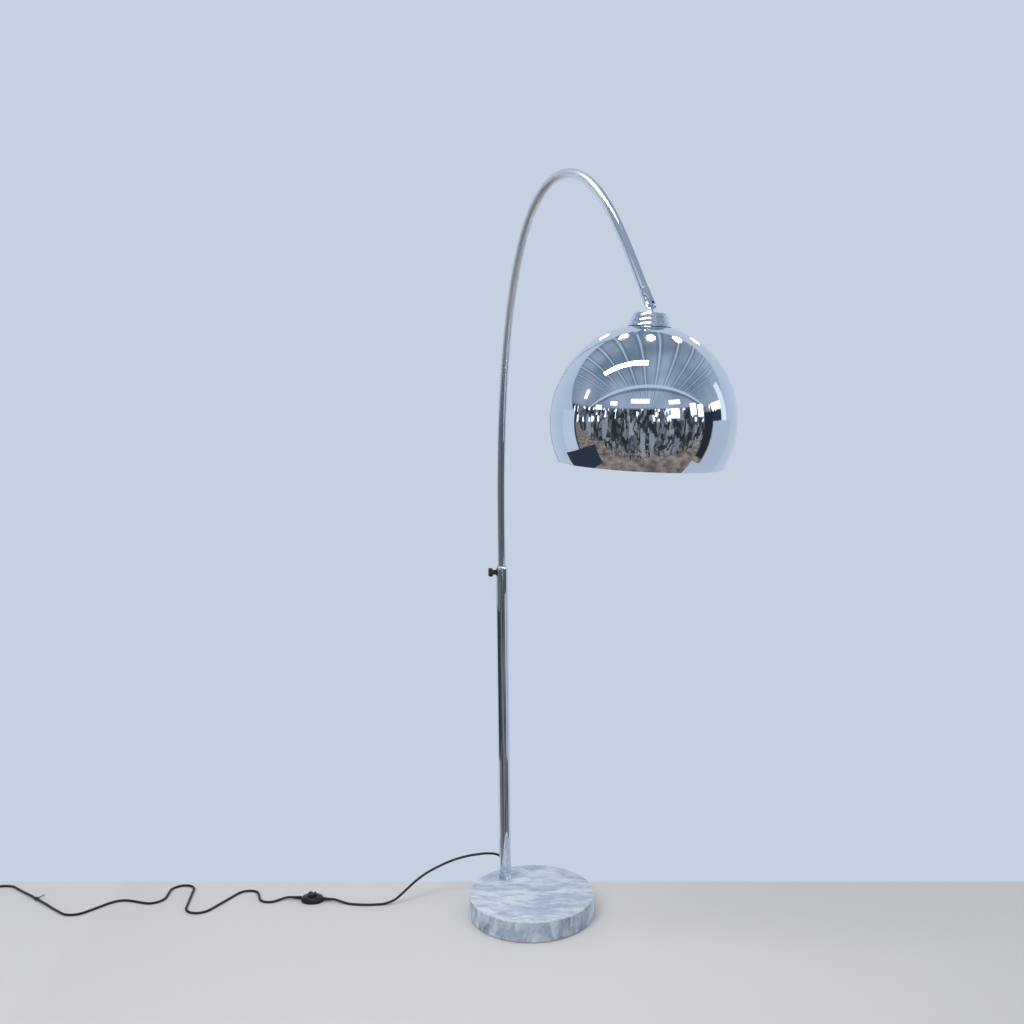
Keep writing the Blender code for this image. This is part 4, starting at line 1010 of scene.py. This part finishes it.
def world_shader():
    """A plain pale backdrop for the camera, and a generic hall for the chrome to reflect."""
    world = bpy.data.worlds.new("studio")
    bpy.context.scene.world = world
    world.use_nodes = True
    world.node_tree.nodes.clear()
    n = Nodes(world.node_tree)

    def dot(vector):
        return n.add("ShaderNodeVectorMath", {0: direction, 1: tuple(vector)},
                     operation="DOT_PRODUCT").outputs["Value"]

    direction = n.add("ShaderNodeTexCoord").outputs["Generated"]
    across = dot(RIGHT)
    towards = dot(TOWARDS)
    height = dot(UP)
    bearing = n.maths("ARCTAN2", across, towards)
    level = n.maths("TANGENT", n.maths("ARCSINE", height))
    front = n.maths("MAXIMUM", towards, 0.001)
    away = n.maths("MULTIPLY", towards, -1.0)

    # ceiling: beams run towards the viewer's side of the hall, with one girder across them
    safe = n.maths("MAXIMUM", height, 0.02)
    u = n.maths("DIVIDE", across, safe)
    v = n.maths("DIVIDE", towards, safe)
    haze = n.noise(direction, 1.3, 2.0)
    ceiling = n.blend(n.remap(haze, 0.35, 0.65), (0.19, 0.25, 0.32, 1), (0.43, 0.50, 0.62, 1))
    saw = n.maths("PINGPONG", n.maths("ADD", u, 20.05), 0.13)
    shadow = n.band(saw, 0.020, 0.052, 0.008)
    ceiling = n.blend(n.maths("MULTIPLY", shadow, 0.42), ceiling, (0.11, 0.145, 0.19, 1))
    beam = n.maths("SUBTRACT", 1.0, n.step(saw, 0.010, 0.006))
    ceiling = n.blend(beam, ceiling, (0.52, 0.62, 0.75, 1))
    girder = n.band(v, 1.04, 1.19, 0.02)
    ceiling = n.blend(girder, ceiling, (0.56, 0.66, 0.79, 1))
    under_girder = n.band(v, 1.21, 1.36, 0.05)
    ceiling = n.blend(n.maths("MULTIPLY", under_girder, 0.6), ceiling, (0.075, 0.10, 0.125, 1))

    # far side of the hall: upright blocks of goods, each with its own tone
    spot = n.add("ShaderNodeCombineXYZ", {0: n.maths("MULTIPLY", bearing, 15.0),
                                          1: n.maths("MULTIPLY", level, 5.5)}).outputs[0]
    wobble = n.add("ShaderNodeTexNoise", {"Vector": spot, "Scale": 1.7, "Detail": 3.0})
    spot = n.add("ShaderNodeVectorMath", {0: wobble.outputs["Color"], 1: (0.35, 0.45, 0.0), 2: spot},
                 operation="MULTIPLY_ADD").outputs[0]
    cells = n.add("ShaderNodeTexVoronoi", {"Vector": spot, "Scale": 1.6}, distance="CHEBYCHEV")
    tone = n.add("ShaderNodeSeparateColor", {0: cells.outputs["Color"]})
    hall = n.blend(n.remap(tone.outputs[0], 0.35, 0.95), (0.030, 0.037, 0.045, 1),
                   (0.30, 0.33, 0.36, 1))
    tint = n.add("ShaderNodeMix", {0: 0.10, 6: hall, 7: cells.outputs["Color"]}, data_type="RGBA",
                 blend_type="OVERLAY").outputs[2]
    streaks = n.add("ShaderNodeVectorMath", {0: spot, 1: (3.2, 1.0, 1.0)}, operation="MULTIPLY")
    fine = n.noise(streaks.outputs[0], 3.0, 5.0, 0.68)
    hall = n.blend(n.remap(fine, 0.52, 0.66, 0.0, 0.72), tint, (0.022, 0.028, 0.034, 1))
    blocks = n.add("ShaderNodeTexVoronoi", {"Vector": spot, "Scale": 0.55}, distance="CHEBYCHEV")
    block_tone = n.add("ShaderNodeSeparateColor", {0: blocks.outputs["Color"]})
    hall = n.blend(n.remap(block_tone.outputs[0], 0.55, 0.60, 0.0, 0.62), hall,
                   (0.030, 0.036, 0.045, 1))
    hall = n.blend(n.remap(block_tone.outputs[1], 0.78, 0.82, 0.0, 0.60), hall,
                   (0.42, 0.47, 0.52, 1))
    lamps = n.both(n.step(tone.outputs[1], 0.80, 0.01), n.band(level, 0.02, 0.27, 0.02))
    hall = n.blend(lamps, hall, (1.5, 1.7, 1.8, 1))
    room = n.blend(n.step(level, 0.275, 0.03), hall, ceiling)

    # floor of the hall
    depth = n.maths("DIVIDE", height, front)
    deep = n.maths("MINIMUM", height, -0.02)
    planks_at = n.add("ShaderNodeCombineXYZ", {0: n.maths("DIVIDE", across, deep),
                                               1: n.maths("DIVIDE", towards, deep)})
    planks = n.noise(planks_at.outputs[0], 3.2, 5.0, 0.6)
    boards = n.blend(n.remap(planks, 0.38, 0.62), (0.125, 0.100, 0.090, 1), (0.36, 0.30, 0.265, 1))
    edge = n.maths("ADD", depth, n.remap(tone.outputs[2], 0.0, 1.0, -0.28, 0.30))
    room = n.blend(n.step(edge, -0.80, 0.05), boards, room)

    # windows and lamps: bearing from, to, level from, to
    for low, high, bottom, top in (
            (-0.35, 0.05, 0.40, 0.50), (-0.80, -0.65, 0.34, 0.42), (-1.13, -1.00, 0.24, 0.32),
            (0.47, 0.72, 0.36, 0.45), (0.50, 0.68, 0.08, 0.27), (0.94, 1.08, 0.13, 0.34),
            (1.12, 1.25, 0.10, 0.30), (1.50, 1.80, 0.18, 0.28), (-1.50, -1.42, 0.40, 0.58),
            (-2.08, -2.00, 0.25, 0.42)):
        window = n.both(n.band(bearing, low, high), n.band(level, bottom, top))
        room = n.blend(window, room, (2.6, 2.8, 3.0, 1))

    # the pale wall behind the lamp, up to its top edge
    right_side = n.remap(bearing, 1.85, 2.6, 0.80, 1.15)
    left_side = n.maths("MULTIPLY", n.step(n.maths("MULTIPLY", bearing, -1.0), 0.0), 1.10)
    top = n.maths("MAXIMUM", right_side, left_side)
    wall_share = n.both(n.step(away, 0.115, 0.012),
                        n.step(n.maths("SUBTRACT", n.maths("MULTIPLY", away, top), height), 0.0),
                        n.step(n.maths("ADD", n.maths("MULTIPLY", away, 2.8), height), 0.0))
    sides = n.remap(n.maths("ABSOLUTE", bearing), 1.75, 2.5)
    wall = n.blend(sides, (0.50, 0.58, 0.70, 1), (0.56, 0.645, 0.765, 1))
    room = n.blend(wall_share, room, wall)

    # uprights, panels and a low bench at the sides: bearing from, to, level from, to, colour
    for low, high, bottom, top, colour in (
            (1.30, 1.82, 0.03, 0.16, (0.030, 0.040, 0.060, 1)),
            (1.27, 1.50, -0.60, 0.16, (0.022, 0.030, 0.045, 1)),
            (1.52, 2.15, -0.95, 0.02, (0.50, 0.565, 0.68, 1)),
            (-2.07, -1.66, -0.50, 0.17, (0.60, 0.69, 0.82, 1)),
            (-1.67, -1.62, -0.50, 0.17, (0.040, 0.055, 0.080, 1)),
            (1.79, 1.97, 0.03, 0.50, (0.90, 0.99, 1.08, 1))):
        shape = n.both(n.band(bearing, low, high), n.band(level, bottom, top))
        room = n.blend(shape, room, colour)

    ambient = n.blend(n.remap(height, -0.3, 0.6), (0.25, 0.25, 0.26, 1), (0.52, 0.56, 0.61, 1))
    path = n.add("ShaderNodeLightPath")
    backdrop = (0.558, 0.638, 0.753, 1)
    colour = n.blend(path.outputs["Is Glossy Ray"], ambient, room)
    colour = n.blend(path.outputs["Is Camera Ray"], colour, backdrop)
    background = n.add("ShaderNodeBackground", {"Color": colour, "Strength": 1.0})
    output = n.add("ShaderNodeOutputWorld")
    n.tree.links.new(background.outputs[0], output.inputs[0])


world_shader()
